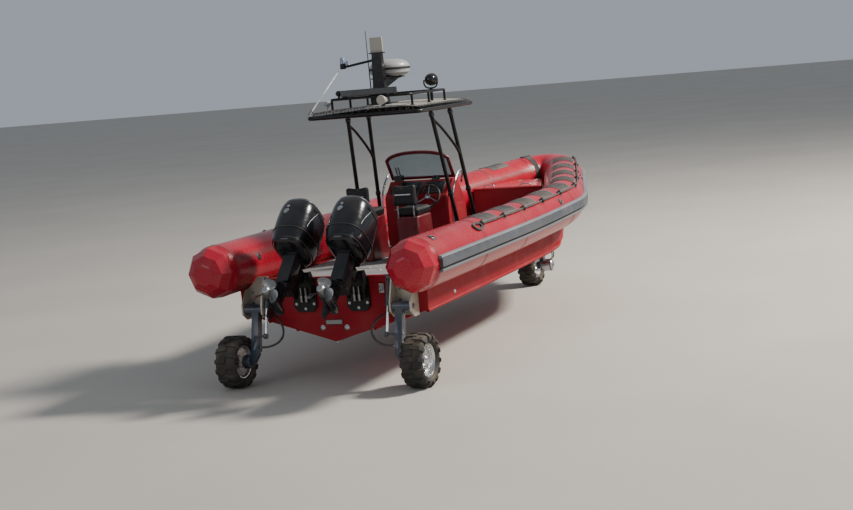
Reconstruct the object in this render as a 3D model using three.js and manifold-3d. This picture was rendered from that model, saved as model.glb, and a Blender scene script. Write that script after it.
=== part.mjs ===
// An amphibious rescue boat: a rigid hull in an inflatable collar, with a helm under a fabric roof,
// two outboards tilted clear of the ground, and three wheel legs let down so that it stands on land.
// Millimetres. +Z is up, +Y is towards the bow and +X is to starboard. Heights are above the floor
// under the tyres, and lengths run forward from the transom; the whole boat is then moved along Y,
// so that the origin is on the floor under its middle.

import * as THREE from "three";
import { mergeVertices } from "three/addons/utils/BufferGeometryUtils.js";
import Module from "manifold-3d";

const wasm = await Module();
wasm.setup();

// Driving sizes
const TUBE_RADIUS = 315;
const TUBE_OFFSET = 1300;
const TUBE_HEIGHT = 1446;
const SHEER_START = 2000;
const SHEER_RISE = 254;
const NOSE_Y = 8350;
const SOLE_HEIGHT = 1190;
const TRANSOM_TOP = 1280;
const TREAD_RADIUS = 321;
const WHEEL_SIDES = 24;
const TYRE_RADIUS = TREAD_RADIUS * Math.cos(Math.PI / WHEEL_SIDES);
const REAR_WHEEL = { x: 1215, y: -319 };
const FRONT_WHEEL_Y = 7180;
const ENGINE_SPACING = 708;
const TILT_AXIS = { y: -90, z: 1320 };
const TILT = THREE.MathUtils.degToRad(45);
const ROOF = { aft: 1295, length: 1890, halfWidth: 800, height: 3150, crown: 50 };
const MIDDLE_Y = 3810.3;
const TOUCH = 0.5;

const LOOKS = {
  red: [0xb01226, 0.32, 0],
  darkRed: [0x6e1220, 0.4, 0],
  strake: [0x3c424e, 0.6, 0],
  sole: [0x8a8c8c, 0.85, 0],
  black: [0x15161a, 0.25, 0],
  frame: [0x1a1b1e, 0.45, 0.2],
  fabric: [0x8f8a80, 0.9, 0],
  white: [0xe4e4e2, 0.35, 0],
  bracket: [0xc9c4b8, 0.5, 0.6],
  steel: [0x3e4552, 0.45, 0.6],
  silver: [0xc4c6c8, 0.3, 0.9],
  tyre: [0x201f1e, 0.9, 0],
  seat: [0x1c1c1e, 0.7, 0],
  glass: [0x8fa2a8, 0.08, 0],
  bronze: [0x6c6e70, 0.35, 0.8],
};

const boat = new THREE.Group();

// Shapes and how they are joined

// One closed skin with shared corners and its faces pointing out.
function closed(geometry) {
  const bare = geometry.clone();
  bare.deleteAttribute("normal");
  bare.deleteAttribute("uv");
  const merged = mergeVertices(bare, 0.01);
  const corner = merged.attributes.position;
  const index = merged.index.array;
  const faces = [];
  const [a, b, c] = [new THREE.Vector3(), new THREE.Vector3(), new THREE.Vector3()];
  let volume = 0;
  for (let i = 0; i < index.length; i += 3) {
    const [p, q, r] = [index[i], index[i + 1], index[i + 2]];
    if (p === q || q === r || r === p) continue;
    a.fromBufferAttribute(corner, p);
    b.fromBufferAttribute(corner, q);
    c.fromBufferAttribute(corner, r);
    volume += a.dot(b.cross(c));
    faces.push([p, q, r]);
  }
  merged.setIndex(faces.flatMap(([p, q, r]) => (volume < 0 ? [p, r, q] : [p, q, r])));
  return merged;
}

function toSolid(geometry) {
  const skin = closed(geometry);
  return new wasm.Manifold(new wasm.Mesh({
    numProp: 3,
    vertProperties: skin.attributes.position.array,
    triVerts: new Uint32Array(skin.index.array),
  }));
}

function toGeometry(solid) {
  const mesh = solid.getMesh();
  const geometry = new THREE.BufferGeometry();
  geometry.setAttribute("position", new THREE.BufferAttribute(new Float32Array(mesh.vertProperties), 3));
  geometry.setIndex(new THREE.BufferAttribute(new Uint32Array(mesh.triVerts), 1));
  return geometry;
}

function joined(...pieces) {
  return toGeometry(pieces.map(toSolid).reduce((whole, piece) => whole.add(piece)));
}

function cut(body, ...tools) {
  return toGeometry(tools.map(toSolid).reduce((left, tool) => left.subtract(tool), toSolid(body)));
}

function block([x0, x1], [y0, y1], [z0, z1]) {
  const box = new THREE.BoxGeometry(Math.abs(x1 - x0), Math.abs(y1 - y0), Math.abs(z1 - z0));
  return box.translate((x0 + x1) / 2, (y0 + y1) / 2, (z0 + z1) / 2);
}

// A straight bar from one point to another.
function rod(from, to, radius, sides = 8, tipRadius = radius) {
  const start = new THREE.Vector3(...from);
  const run = new THREE.Vector3(...to).sub(start);
  const bar = new THREE.CylinderGeometry(tipRadius, radius, run.length(), sides);
  const turn = new THREE.Quaternion().setFromUnitVectors(new THREE.Vector3(0, 1, 0), run.clone().normalize());
  return bar.applyQuaternion(turn).translate(...start.addScaledVector(run, 0.5).toArray());
}

// A bent pipe through a few points.
function pipe(points, radius, steps) {
  const path = new THREE.CatmullRomCurve3(points.map((p) => new THREE.Vector3(...p)), false, "centripetal");
  const section = new THREE.Shape(new THREE.Path().absarc(0, 0, radius, 0, 2 * Math.PI).getPoints(4).slice(0, -1));
  return new THREE.ExtrudeGeometry(section, { extrudePath: path, steps, bevelEnabled: false });
}

// An outline of (y, z) points, as thick as the stretch from one x to the other.
function plate(outline, x0, x1) {
  const shape = new THREE.Shape(outline.map(([y, z]) => new THREE.Vector2(y, z)));
  const sheet = new THREE.ExtrudeGeometry(shape, { depth: Math.abs(x1 - x0), bevelEnabled: false });
  const basis = new THREE.Matrix4().makeBasis(
    new THREE.Vector3(0, 1, 0), new THREE.Vector3(0, 0, 1), new THREE.Vector3(1, 0, 0));
  return sheet.applyMatrix4(basis).translate(Math.min(x0, x1), 0, 0);
}

// An outline of (x, z) points, as thick as the stretch from one y to the other.
function panel(outline, y0, y1) {
  const shape = new THREE.Shape(outline.map(([x, z]) => new THREE.Vector2(x, z)));
  const sheet = new THREE.ExtrudeGeometry(shape, { depth: Math.abs(y1 - y0), bevelEnabled: false });
  return sheet.rotateX(Math.PI / 2).translate(0, Math.max(y0, y1), 0);
}

// An outline of (x, y) points, as thick as the stretch from one z to the other.
function slab(outline, z0, z1) {
  const shape = new THREE.Shape(outline.map(([x, y]) => new THREE.Vector2(x, y)));
  return new THREE.ExtrudeGeometry(shape, { depth: z1 - z0, bevelEnabled: false }).translate(0, 0, z0);
}

// A turned piece: (radius, along) points about an axis through the origin.
function turned(profile, sides, axis) {
  const piece = new THREE.LatheGeometry(profile.map(([r, along]) => new THREE.Vector2(r, along)), sides);
  piece.rotateY(Math.PI / sides);
  if (axis === "x") piece.rotateZ(-Math.PI / 2);
  if (axis === "z") piece.rotateX(Math.PI / 2);
  return piece;
}

// A skin through rings of equally many corners, closed by a cap at each end.
function loft(rings) {
  const count = rings[0].length;
  const points = rings.flat();
  const faces = [];
  for (let ring = 0; ring < rings.length - 1; ring += 1) {
    for (let i = 0; i < count; i += 1) {
      const a = ring * count + i;
      const b = ring * count + ((i + 1) % count);
      faces.push(a, b, a + count, b, b + count, a + count);
    }
  }
  const last = (rings.length - 1) * count;
  capFaces(rings[0]).forEach(([p, q, r]) => faces.push(p, r, q));
  capFaces(rings[rings.length - 1]).forEach(([p, q, r]) => faces.push(last + p, last + q, last + r));
  const geometry = new THREE.BufferGeometry().setFromPoints(points);
  geometry.setIndex(faces);
  return geometry;
}

// The triangles of a flat ring, turned the way that the ring runs.
function capFaces(ring) {
  const normal = new THREE.Vector3();
  ring.forEach((point, i) => normal.add(point.clone().cross(ring[(i + 1) % ring.length])));
  normal.normalize();
  const side = ring[1].clone().sub(ring[0]).normalize();
  const up = normal.clone().cross(side);
  const flat = ring.map((point) => new THREE.Vector2(point.dot(side), point.dot(up)));
  return THREE.ShapeUtils.triangulateShape(flat, []);
}

function place(name, geometry, look, parent = boat) {
  const [color, roughness, metalness] = LOOKS[look];
  const material = new THREE.MeshStandardMaterial({ color, roughness, metalness });
  const mesh = new THREE.Mesh(closed(geometry), material);
  mesh.name = name;
  parent.add(mesh);
  return mesh;
}

const SIDES = [
  ["port", -1],
  ["starboard", 1],
];

// The collar's middle line

const TAPER = { at: 7000, x: 712, slope: -0.316 };
const taperX = (y) => TAPER.x + (y - TAPER.at) * TAPER.slope;
const SHOULDER = { from: 4700, bend: TAPER.at + (TUBE_OFFSET - TAPER.x) / TAPER.slope, to: 5600 };
const NOSE_BEND = { from: 7700, x: taperX(NOSE_Y) };
const COLLAR_START = -440;

const sheer = (y) => TUBE_HEIGHT + SHEER_RISE * (Math.max(0, y - SHEER_START) / (NOSE_Y - SHEER_START)) ** 2;

// Plan points from the stern to the middle of the nose, on the starboard side.
function collarPlan() {
  const plan = new THREE.Path();
  plan.moveTo(TUBE_OFFSET, COLLAR_START);
  plan.lineTo(TUBE_OFFSET, SHEER_START);
  plan.lineTo(TUBE_OFFSET, (SHEER_START + SHOULDER.from) / 2);
  plan.lineTo(TUBE_OFFSET, SHOULDER.from);
  plan.quadraticCurveTo(TUBE_OFFSET, SHOULDER.bend, taperX(SHOULDER.to), SHOULDER.to);
  plan.lineTo(TAPER.x, TAPER.at);
  plan.lineTo(taperX(NOSE_BEND.from), NOSE_BEND.from);
  plan.quadraticCurveTo(NOSE_BEND.x, NOSE_Y, 0, NOSE_Y);
  return plan.getPoints(4);
}

// Where the collar's middle line is, and which way is out and up there.
function collarFrames() {
  const starboard = collarPlan().map((p) => new THREE.Vector3(p.x, p.y, sheer(p.y)));
  const port = starboard.slice(0, -1).reverse().map((p) => new THREE.Vector3(-p.x, p.y, p.z));
  const line = [...starboard, ...port];
  return line.map((middle, i) => {
    const ahead = line[Math.min(i + 1, line.length - 1)].clone().sub(line[Math.max(i - 1, 0)]).normalize();
    const out = ahead.clone().cross(new THREE.Vector3(0, 0, 1)).normalize();
    return { middle, ahead, out, up: out.clone().cross(ahead) };
  });
}

function ringAt({ middle, out, up }, outline, scale = 1) {
  return outline.map(([s, u]) => middle.clone().addScaledVector(out, s * scale).addScaledVector(up, u * scale));
}

const slid = (frame, along) => ({ ...frame, middle: frame.middle.clone().addScaledVector(frame.ahead, along) });

// The collar in three stretches, with a narrow gap at the two joints abreast of the bow locker.
function collarStretches() {
  const frames = collarFrames();
  const joint = frames.findIndex(({ middle }) => middle.y >= TAPER.at);
  const far = frames.length - 1 - joint;
  return {
    starboard: [...frames.slice(0, joint), slid(frames[joint], -TOUCH)],
    bow: [slid(frames[joint], TOUCH), ...frames.slice(joint + 1, far), slid(frames[far], -TOUCH)],
    port: [slid(frames[far], TOUCH), ...frames.slice(far + 1)],
  };
}

const around = (count, radius) => Array.from({ length: count }, (_, i) => {
  const angle = (i * 2 * Math.PI) / count;
  return [radius * Math.cos(angle), radius * Math.sin(angle)];
});

// Tail cone: y, radius.
const TAIL = [
  [-735, 150],
  [-690, 225],
  [-575, 300],
];
const TUBE_SIDES = 20;

function tubes() {
  const round = around(TUBE_SIDES, TUBE_RADIUS);
  const stretches = collarStretches();
  for (const [name, frames] of Object.entries(stretches)) {
    const rings = frames.map((frame) => ringAt(frame, round));
    const end = name === "starboard" ? frames[0] : frames[frames.length - 1];
    const tail = TAIL.map(([y, radius]) => {
      const middle = new THREE.Vector3(end.middle.x, y, end.middle.z);
      return ringAt({ ...end, middle }, round, radius / TUBE_RADIUS);
    });
    if (name === "starboard") rings.unshift(...tail);
    if (name === "port") rings.push(...tail.reverse());
    place(`tube_${name}`, loft(rings), "red");
  }
}

// Rub strake section, out and up from the tube's middle: a flat-faced band that lies on the tube.
function strakeOutline() {
  const back = TUBE_RADIUS + 1;
  const step = (2 * Math.PI) / TUBE_SIDES;
  const on = (n) => [back * Math.cos(n * step), back * Math.sin(n * step)];
  return [on(-1), [336, -98], [356, -72], [356, 62], [338, 96], on(1), on(0)];
}

function strakes() {
  for (const [name, frames] of Object.entries(collarStretches())) {
    place(`strake_${name}`, loft(frames.map((frame) => ringAt(frame, strakeOutline()))), "strake");
  }
}

// Hull and deck

// Hull sections: y, half beam at the chine, chine height, keel height.
const HULL = [
  [0, 1235, 853, 490],
  [2000, 1235, 858, 490],
  [4700, 1215, 885, 490],
  [5600, 1060, 915, 490],
  [6300, 860, 950, 505],
  [7000, 640, 1000, 590],
  [7700, 385, 1065, 770],
  [8050, 200, 1150, 930],
];
const SOLE_INSET = 330;

// Half a section: keel, chine, then the seat of the tube and the edge of the sole.
function hullSection([y, beam, chine, keel]) {
  const tube = collarX(y);
  const top = sheer(y);
  const half = [
    [0, keel],
    [beam, chine],
    [tube - 55, top - 300],
    [tube - 205, top - 240],
    [Math.max(tube - SOLE_INSET, 15), SOLE_HEIGHT],
  ];
  const otherHalf = half.slice(1).reverse().map(([x, z]) => [-x, z]);
  return [...half, ...otherHalf].map(([x, z]) => new THREE.Vector3(x, y, z));
}

// How far out the collar's middle line is at a given length along the boat.
function collarX(y) {
  const plan = collarPlan();
  const next = plan.findIndex((p) => p.y >= y && p.y > COLLAR_START);
  const [a, b] = [plan[next - 1], plan[next]];
  return a.x + ((b.x - a.x) * (y - a.y)) / (b.y - a.y);
}

const LEG_RECESS = { halfWidth: 190, from: 6800, to: 7800, ceiling: 900 };

function hull() {
  const body = loft(HULL.map(hullSection));
  const { halfWidth, from, to, ceiling } = LEG_RECESS;
  const recess = block([-halfWidth, halfWidth], [from, to], [0, ceiling]);
  const tubeSeat = loft(collarFrames().map((frame) => ringAt(frame, around(TUBE_SIDES, TUBE_RADIUS + 2))));
  place("hull", cut(body, recess, tubeSeat), "red");
}

const DECK = { aft: 80, split: 3470, bend: 4600, fore: 6200, thick: 25 };

// The deck is laid in two panels, which meet ahead of the console.
function deck() {
  const { aft, split, bend, fore, thick } = DECK;
  const edge = TUBE_OFFSET - SOLE_INSET - 10;
  const bowEdge = collarX(fore) - SOLE_INSET - 10;
  const panels = {
    sole: [[-edge, aft], [edge, aft], [edge, split - TOUCH], [-edge, split - TOUCH]],
    foredeck: [[-edge, split], [edge, split], [edge, bend], [bowEdge, fore], [-bowEdge, fore], [-edge, bend]],
  };
  for (const [name, outline] of Object.entries(panels)) {
    place(name, slab(outline, SOLE_HEIGHT + TOUCH, SOLE_HEIGHT + thick), "sole");
  }
  const top = [[-960, SOLE_HEIGHT + TOUCH], [960, SOLE_HEIGHT + TOUCH], [960, TRANSOM_TOP], [-960, TRANSOM_TOP]];
  place("transom_top", panel(top, 0, 60), "red");
}

// Locker in the bow: a bin with a lid hinged along its forward edge.
const LOCKER = { aft: 6320, fore: 7450, aftHalf: 560, foreHalf: 190, top: 1650, wall: 40, floor: 1290 };
const LID = { overhang: 12, thick: 28 };

function lockerOutline(inset) {
  const { aft, fore, aftHalf, foreHalf } = LOCKER;
  return [
    [-aftHalf + inset, aft + inset], [aftHalf - inset, aft + inset],
    [foreHalf - inset, fore - inset], [-foreHalf + inset, fore - inset],
  ];
}

function locker() {
  const bin = slab(lockerOutline(0), SOLE_HEIGHT + TOUCH, LOCKER.top);
  const inside = slab(lockerOutline(LOCKER.wall), LOCKER.floor, LOCKER.top + 10);
  place("bow_locker", cut(bin, inside), "red");
  place("locker_lid", slab(lockerOutline(-LID.overhang), LOCKER.top + 1, LOCKER.top + 1 + LID.thick), "darkRed");
}

// Helm

const CONSOLE = { aft: 2760, fore: 3450, halfWidth: 460, bottom: SOLE_HEIGHT + 25.5 };

function helm() {
  const { aft, fore, halfWidth, bottom } = CONSOLE;
  const side = [
    [aft, bottom], [fore, bottom], [fore - 30, 1800], [3180, 2120], [2980, 2130], [aft, 1930],
  ];
  place("console", plate(side, -halfWidth, halfWidth), "red");
  windscreen();
  steeringWheel();
  const box = block([-330, -230], [2850, 2960], [2135, 2215]);
  const levers = [-300, -260].map((x) => rod([x, 2905, 2215 - 5], [x, 2850, 2330], 9, 6));
  place("throttle_box", joined(box, ...levers), "black");
}

const SCREEN = { halfWidth: 470, height: 470, rim: 45, thick: 24, glass: 8, lean: THREE.MathUtils.degToRad(32) };

// A screen with a curved top, leaning aft over the helm.
function screenShape(inset) {
  const { halfWidth, height } = SCREEN;
  const shape = new THREE.Shape();
  shape.moveTo(-halfWidth + inset, inset);
  shape.lineTo(halfWidth - inset, inset);
  shape.lineTo(halfWidth - inset, height * 0.72 - inset * 0.5);
  shape.quadraticCurveTo(halfWidth * 0.8 - inset, height - inset, 0, height - inset);
  shape.quadraticCurveTo(-halfWidth * 0.8 + inset, height - inset, -halfWidth + inset, height * 0.72 - inset * 0.5);
  return shape;
}

function windscreen() {
  const flat = (inset, thick) => new THREE.ExtrudeGeometry(
    screenShape(inset), { depth: thick, bevelEnabled: false, curveSegments: 5 }).translate(0, 0, -thick / 2);
  const upright = (geometry) => geometry.rotateX(Math.PI / 2 + SCREEN.lean).translate(0, 3090, 2142);
  const frame = cut(flat(0, SCREEN.thick), flat(SCREEN.rim, SCREEN.thick + 10));
  place("windscreen_frame", upright(frame), "darkRed");
  place("windscreen_glass", upright(flat(SCREEN.rim + 1, SCREEN.glass)), "glass");
}

const HELM_WHEEL = { x: 210, y: 2690, z: 1930, radius: 165, lean: THREE.MathUtils.degToRad(60) };

function steeringWheel() {
  const rim = new THREE.TorusGeometry(HELM_WHEEL.radius, 14, 8, 24);
  const hub = turned([[0, -14], [38, -14], [38, 20], [0, 20]], 12, "z");
  const spokes = [90, 210, 330].map((angle) => {
    const a = THREE.MathUtils.degToRad(angle);
    const reach = HELM_WHEEL.radius;
    return rod([0, 0, 0], [reach * Math.cos(a), reach * Math.sin(a), 0], 11, 6);
  });
  const wheel = joined(rim, hub, ...spokes).rotateX(HELM_WHEEL.lean);
  place("steering_wheel", wheel.translate(HELM_WHEEL.x, HELM_WHEEL.y, HELM_WHEEL.z), "black");
}

// Two seats astride which the crew stand or sit, behind the helm.
const SEAT = { offset: 330, aft: 1650, fore: 2180, halfWidth: 150, top: 1780 };

function seats() {
  const { offset, aft, fore, halfWidth, top } = SEAT;
  const side = [[aft, CONSOLE.bottom], [fore, CONSOLE.bottom], [fore - 60, top], [aft + 20, top]];
  const cushion = [
    [aft - 20, top + TOUCH], [fore - 40, top + TOUCH], [fore - 50, top + 110],
    [aft + 140, top + 110], [aft + 60, top + 420], [aft - 50, top + 420],
  ];
  for (const [name, hand] of SIDES) {
    const middle = hand * offset;
    place(`seat_base_${name}`, plate(side, middle - halfWidth, middle + halfWidth), "darkRed");
    place(`seat_cushion_${name}`, plate(cushion, middle - halfWidth - 25, middle + halfWidth + 25), "seat");
  }
}

// Roof on pipe legs

const LEG_X = 590;
const FOOT_X = 720;
const PIPE = 26;
const LEG_TOPS = { aft: 2110, fore: 2760 };
const LEG_FEET = { aft: 2560, fore: 3190 };

const roofCrown = (x) => ROOF.crown * (1 - (x / ROOF.halfWidth) ** 2);

function roofFrame() {
  const { aft, length, halfWidth, height } = ROOF;
  const hoopZ = height - PIPE - 2;
  const [stern, bow] = [aft + PIPE, aft + length - PIPE];
  const corners = [[-1, stern], [1, stern], [1, bow], [-1, bow]].map(([hand, y]) => [hand * (halfWidth - PIPE), y, hoopZ]);
  const hoop = corners.flatMap((corner, i) => [
    rod(corner, corners[(i + 1) % 4], PIPE),
    turned([[0, -PIPE], [PIPE, -PIPE], [PIPE, PIPE], [0, PIPE]], 8, "z").translate(...corner),
  ]);
  const parts = [...hoop];
  for (const y of Object.values(LEG_TOPS)) {
    parts.push(rod([-(halfWidth - PIPE), y, hoopZ], [halfWidth - PIPE, y, hoopZ], PIPE * 0.8));
  }
  for (const [, hand] of SIDES) {
    for (const end of ["aft", "fore"]) {
      const foot = [hand * FOOT_X, LEG_FEET[end], CONSOLE.bottom];
      const ankle = [foot[0], foot[1], foot[2] + 14];
      parts.push(rod(ankle, [hand * LEG_X, LEG_TOPS[end], hoopZ], PIPE));
      parts.push(turned([[0, 0], [60, 0], [60, 16], [0, 16]], 12, "z").translate(...foot));
    }
    parts.push(pipe([
      [hand * 600, LEG_TOPS.aft + 30, hoopZ - 140],
      [hand * 612, LEG_TOPS.aft + 330, hoopZ - 300],
      [hand * 632, 2870, 2500],
      [hand * 656, 2972, 2200],
    ], PIPE * 0.7, 8));
  }
  place("roof_frame", joined(...parts), "frame");
}

// The fabric, as a thin cambered sheet laced over the hoop.
function canopy() {
  const { aft, length, halfWidth, height } = ROOF;
  const inset = 22;
  const steps = Array.from({ length: 9 }, (_, i) => (halfWidth - inset) * (i / 4 - 1));
  const top = steps.map((x) => [x, height + 22 + roofCrown(x)]);
  const under = steps.map((x) => [x, height + TOUCH + roofCrown(x)]).reverse();
  place("canopy", panel([...top, ...under], aft + inset, aft + length - inset), "fabric");
}

const roofTop = (x) => ROOF.height + 23 + roofCrown(x);

// A low rail round the roof's equipment.
function roofRail() {
  const [x, stern, bow, top] = [560, 1560, 2790, 3335];
  const bar = 15;
  const corners = [[-x, stern], [x, stern], [x, bow], [-x, bow]];
  const parts = corners.map(([cx, cy], i) => {
    const [nx, ny] = corners[(i + 1) % 4];
    return rod([cx, cy, top], [nx, ny, top], bar);
  });
  const posts = [-x, x].flatMap((px) => [stern, (stern + bow) / 2, bow].map((py) => [px, py]));
  for (const [px, py] of posts) {
    parts.push(rod([px, py, roofTop(px) + 1], [px, py, top + bar], bar));
  }
  place("roof_rail", joined(...parts), "frame");
}

// The mast carries the radome's shelf, the cross arm with its lamp, and a flat aerial on top.
const MAST = { y: 1990, top: 3890, foot: ROOF.height + ROOF.crown + 24 };

function mast() {
  const { y, top, foot } = MAST;
  const parts = [
    block([-150, 150], [y - 150, y + 160], [foot, foot + 12]),
    panel([[-115, foot + 6], [115, foot + 6], [80, 3480], [62, top], [-62, top], [-80, 3480]], y - 100, y - 20),
    plate([[y - 30, foot + 6], [y + 130, foot + 6], [y + 40, 3430], [y + 500, 3549], [y - 30, 3549]], -50, 50),
    block([-110, 110], [y - 80, y + 520], [3548, 3562]),
    block([-95, 95], [y - 110, y - 20], [top - 16, top]),
    rod([-95, y - 60, 3790], [-520, y - 20, 3735], 16),
    rod([-45, y - 60, 3800], [-110, y - 60, 3788], 16),
    block([-85, 85], [y - 72, y - 50], [top - 10, top + 190]),
    turned([[0, 0], [38, 0], [38, 70], [0, 70]], 10, "z").translate(-520, y - 20, 3712),
  ];
  place("mast", joined(...parts), "frame");
  const dome = [[0, 0], [150, 0], [262, 45], [268, 110], [240, 175], [130, 218], [0, 230]];
  place("radome", turned(dome, 20, "z").translate(0, y + 290, 3562 + TOUCH), "white");
}

function roofGear() {
  const barTop = 3335 + 15.5;
  place("light_bar", joined(
    block([-380, 380], [1515, 1600], [barTop + 12, barTop + 92]),
    block([-360, -300], [1530, 1585], [barTop, barTop + 20]),
    block([300, 360], [1530, 1585], [barTop, barTop + 20]),
  ), "black");
  place("searchlight", joined(
    turned([[0, -70], [60, -60], [82, 40], [82, 70], [0, 70]], 14, "x").rotateZ(Math.PI / 2).translate(470, 2500, 3480),
    rod([470, 2500, roofTop(470) + 1], [470, 2500, 3470], 20),
  ), "black");
  place("whip_aerial", joined(
    rod([-190, 2060, roofTop(190) + 1], [-190, 2060, 3420], 16),
    rod([-190, 2060, 3410], [-190, 2040, 4180], 8, 6, 4),
  ), "frame");
  place("leaning_aerial", rod([-745, 1352, roofTop(745) + 22], [-560, 1905, 3690], 10, 6, 6), "white");
  place("dome_aerial", joined(
    turned([[0, 0], [14, 0], [14, 70], [48, 75], [52, 100], [30, 130], [0, 138]], 12, "z"),
  ).translate(-660, 1700, roofTop(660) + 1), "white");
  place("horn", joined(
    turned([[0, -110], [30, -110], [34, 40], [52, 60], [52, 72], [0, 72]], 12, "z").rotateX(Math.PI / 2)
      .translate(250, 1430, roofTop(250) + 58),
    block([230, 270], [1410, 1450], [roofTop(250) + 1, roofTop(250) + 40]),
  ), "white");
}

// Wheels

// Tyre section under the lugs: radius, then out from the wheel's middle. It closes on itself.
const TYRE = [
  [200, -100], [240, -130], [282, -126], [301, -92], [301, 92], [282, 126], [240, 130], [200, 100],
];

// Chunky lugs in two rows that pass each other at the middle of the tread, one row half a step on.
const LUG = { count: 14, halfLength: 27, inner: -14, shoulder: 112, wall: 133, depth: 62, slant: 12 };
const RIM = [
  [0, -52], [62, -52], [70, -66], [170, -66], [186, -98], [198.5, -98], [198.5, 98], [184, 98],
  [168, 62], [150, 34], [88, 34], [70, 52], [46, 88], [0, 96],
];

// One lug: its top runs from the middle of the tread to the shoulder, then folds down the side wall.
function lug(hand, turn) {
  const { halfLength, inner, shoulder, wall, depth, slant } = LUG;
  const top = TYRE_RADIUS;
  const across = [[inner, top], [shoulder, top], [wall, top - depth], [inner, top - depth / 2]];
  const bar = panel(across.map(([x, z]) => [hand * x, -z]), -halfLength, halfLength);
  const corner = bar.attributes.position;
  for (let i = 0; i < corner.count; i += 1) {
    corner.setY(i, corner.getY(i) + slant * (Math.abs(corner.getX(i)) / shoulder - 0.5));
  }
  return bar.rotateX(turn);
}

function tyre() {
  const step = (2 * Math.PI) / LUG.count;
  const lugs = Array.from({ length: LUG.count }, (_, i) => [lug(1, i * step), lug(-1, (i + 0.5) * step)]).flat();
  return joined(turned([...TYRE, TYRE[0]], WHEEL_SIDES, "x"), ...lugs);
}

function wheel(name, x, y, outward) {
  const set = (geometry) => geometry.scale(outward, 1, 1).translate(x, y, TYRE_RADIUS);
  place(`tyre_${name}`, set(tyre()), "tyre");
  place(`rim_${name}`, set(turned(RIM, WHEEL_SIDES, "x")), "silver");
}

// Rear legs: a bracket bolted to the transom, a cranked leg hung in it, and a ram inboard of the leg.
const REAR_PIN = { y: -165, z: 930 };
const RAM = { x: 800, pin: 16, top: { y: -95, z: 1265 }, foot: { y: -272, z: 620 } };

function rearBracket(name, hand) {
  const backing = [[840, 800], [1120, 800], [1120, 1165], [1050, 1225], [985, 1310], [840, 1310]];
  const inner = [[-25, 1310], [-25, 800], [-130, 800], [-235, 880], [-235, 990], [-110, 1310]];
  const outer = [[-25, 1165], [-25, 800], [-130, 800], [-235, 880], [-235, 990], [-110, 1165]];
  const bracket = joined(
    panel(backing, -26, -TOUCH),
    plate(inner, 840, 860),
    plate(outer, 1100, 1120),
    rod([850, REAR_PIN.y, REAR_PIN.z], [1110, REAR_PIN.y, REAR_PIN.z], 20, 10),
    rod([RAM.x - 24, RAM.top.y, RAM.top.z], [850, RAM.top.y, RAM.top.z], RAM.pin, 12),
  );
  const leftover = rod([1121, REAR_PIN.y, REAR_PIN.z], [1111, REAR_PIN.y, REAR_PIN.z], 34, 10);
  place(`rear_bracket_${name}`, joined(bracket, leftover).scale(hand, 1, 1), "bracket");
}

function rearLeg(name, hand) {
  const eye = cut(
    rod([868, REAR_PIN.y, REAR_PIN.z], [1092, REAR_PIN.y, REAR_PIN.z], 62, 12),
    rod([860, REAR_PIN.y, REAR_PIN.z], [1100, REAR_PIN.y, REAR_PIN.z], 21, 10),
  );
  const shin = plate([[-212, 935], [-118, 935], [-215, 420], [-330, 420]], 905, 995);
  const knee = panel([[905, 460], [905, 390], [985, 262], [1035, 262], [1035, 370], [995, 460]], -330, -250);
  const motor = turned([[0, 0], [78, 0], [84, 12], [84, 82], [60, 104], [0, 104]], 16, "x")
    .translate(1036 - 30, REAR_WHEEL.y, TYRE_RADIUS);
  const ramPin = rod([RAM.x - 24, RAM.foot.y, RAM.foot.z], [950, RAM.foot.y, RAM.foot.z], RAM.pin, 12);
  const leg = joined(eye, ramPin, cut(shin, rod([860, REAR_PIN.y, REAR_PIN.z], [1100, REAR_PIN.y, REAR_PIN.z], 40, 10)), knee, motor);
  place(`rear_leg_${name}`, leg.scale(hand, 1, 1), "steel");
}

function rearRam(name, hand) {
  const { x, top, foot, pin } = RAM;
  const at = (t) => [x, top.y + (foot.y - top.y) * t, top.z + (foot.z - top.z) * t];
  const across = (end, half, radius) => rod([x - half, end.y, end.z], [x + half, end.y, end.z], radius, 12);
  const eyes = [top, foot].map((end) => across(end, 20, 34));
  const holes = [top, foot].map((end) => across(end, 30, pin + 1));
  const ram = cut(joined(rod(at(0.03), at(0.5), 30, 12), rod(at(0.48), at(0.97), 17, 10), ...eyes), ...holes);
  place(`rear_ram_${name}`, ram.scale(hand, 1, 1), "silver");
}

// A hydraulic hose hangs in a loop from a port on the bracket down to the motor on the leg.
const HOSE = { radius: 13, sides: 8, steps: 36 };
const HOSE_ROUTE = [
  [839.2, -76, 850], [806, -76, 850], [750, -98, 840], [690, -140, 812], [630, -180, 764], [594, -208, 706],
  [584, -224, 648], [602, -236, 592], [646, -248, 542], [708, -258, 508], [776, -264, 490], [846, -266, 482],
  [904.2, -266, 482],
];

function rearHose(name, hand) {
  const path = new THREE.CatmullRomCurve3(HOSE_ROUTE.map((p) => new THREE.Vector3(...p)), false, "centripetal");
  const section = new THREE.Shape(around(HOSE.sides, HOSE.radius).map(([a, b]) => new THREE.Vector2(a, b)));
  const tube = new THREE.ExtrudeGeometry(section, { extrudePath: path, steps: HOSE.steps, bevelEnabled: false });
  place(`hose_${name}`, tube.scale(hand, 1, 1), "black");
}

function rearGear() {
  for (const [name, hand] of SIDES) {
    rearHose(name, hand);
    rearBracket(name, hand);
    rearLeg(name, hand);
    rearRam(name, hand);
    wheel(`rear_${name}`, hand * REAR_WHEEL.x, REAR_WHEEL.y, hand);
  }
}

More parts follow.
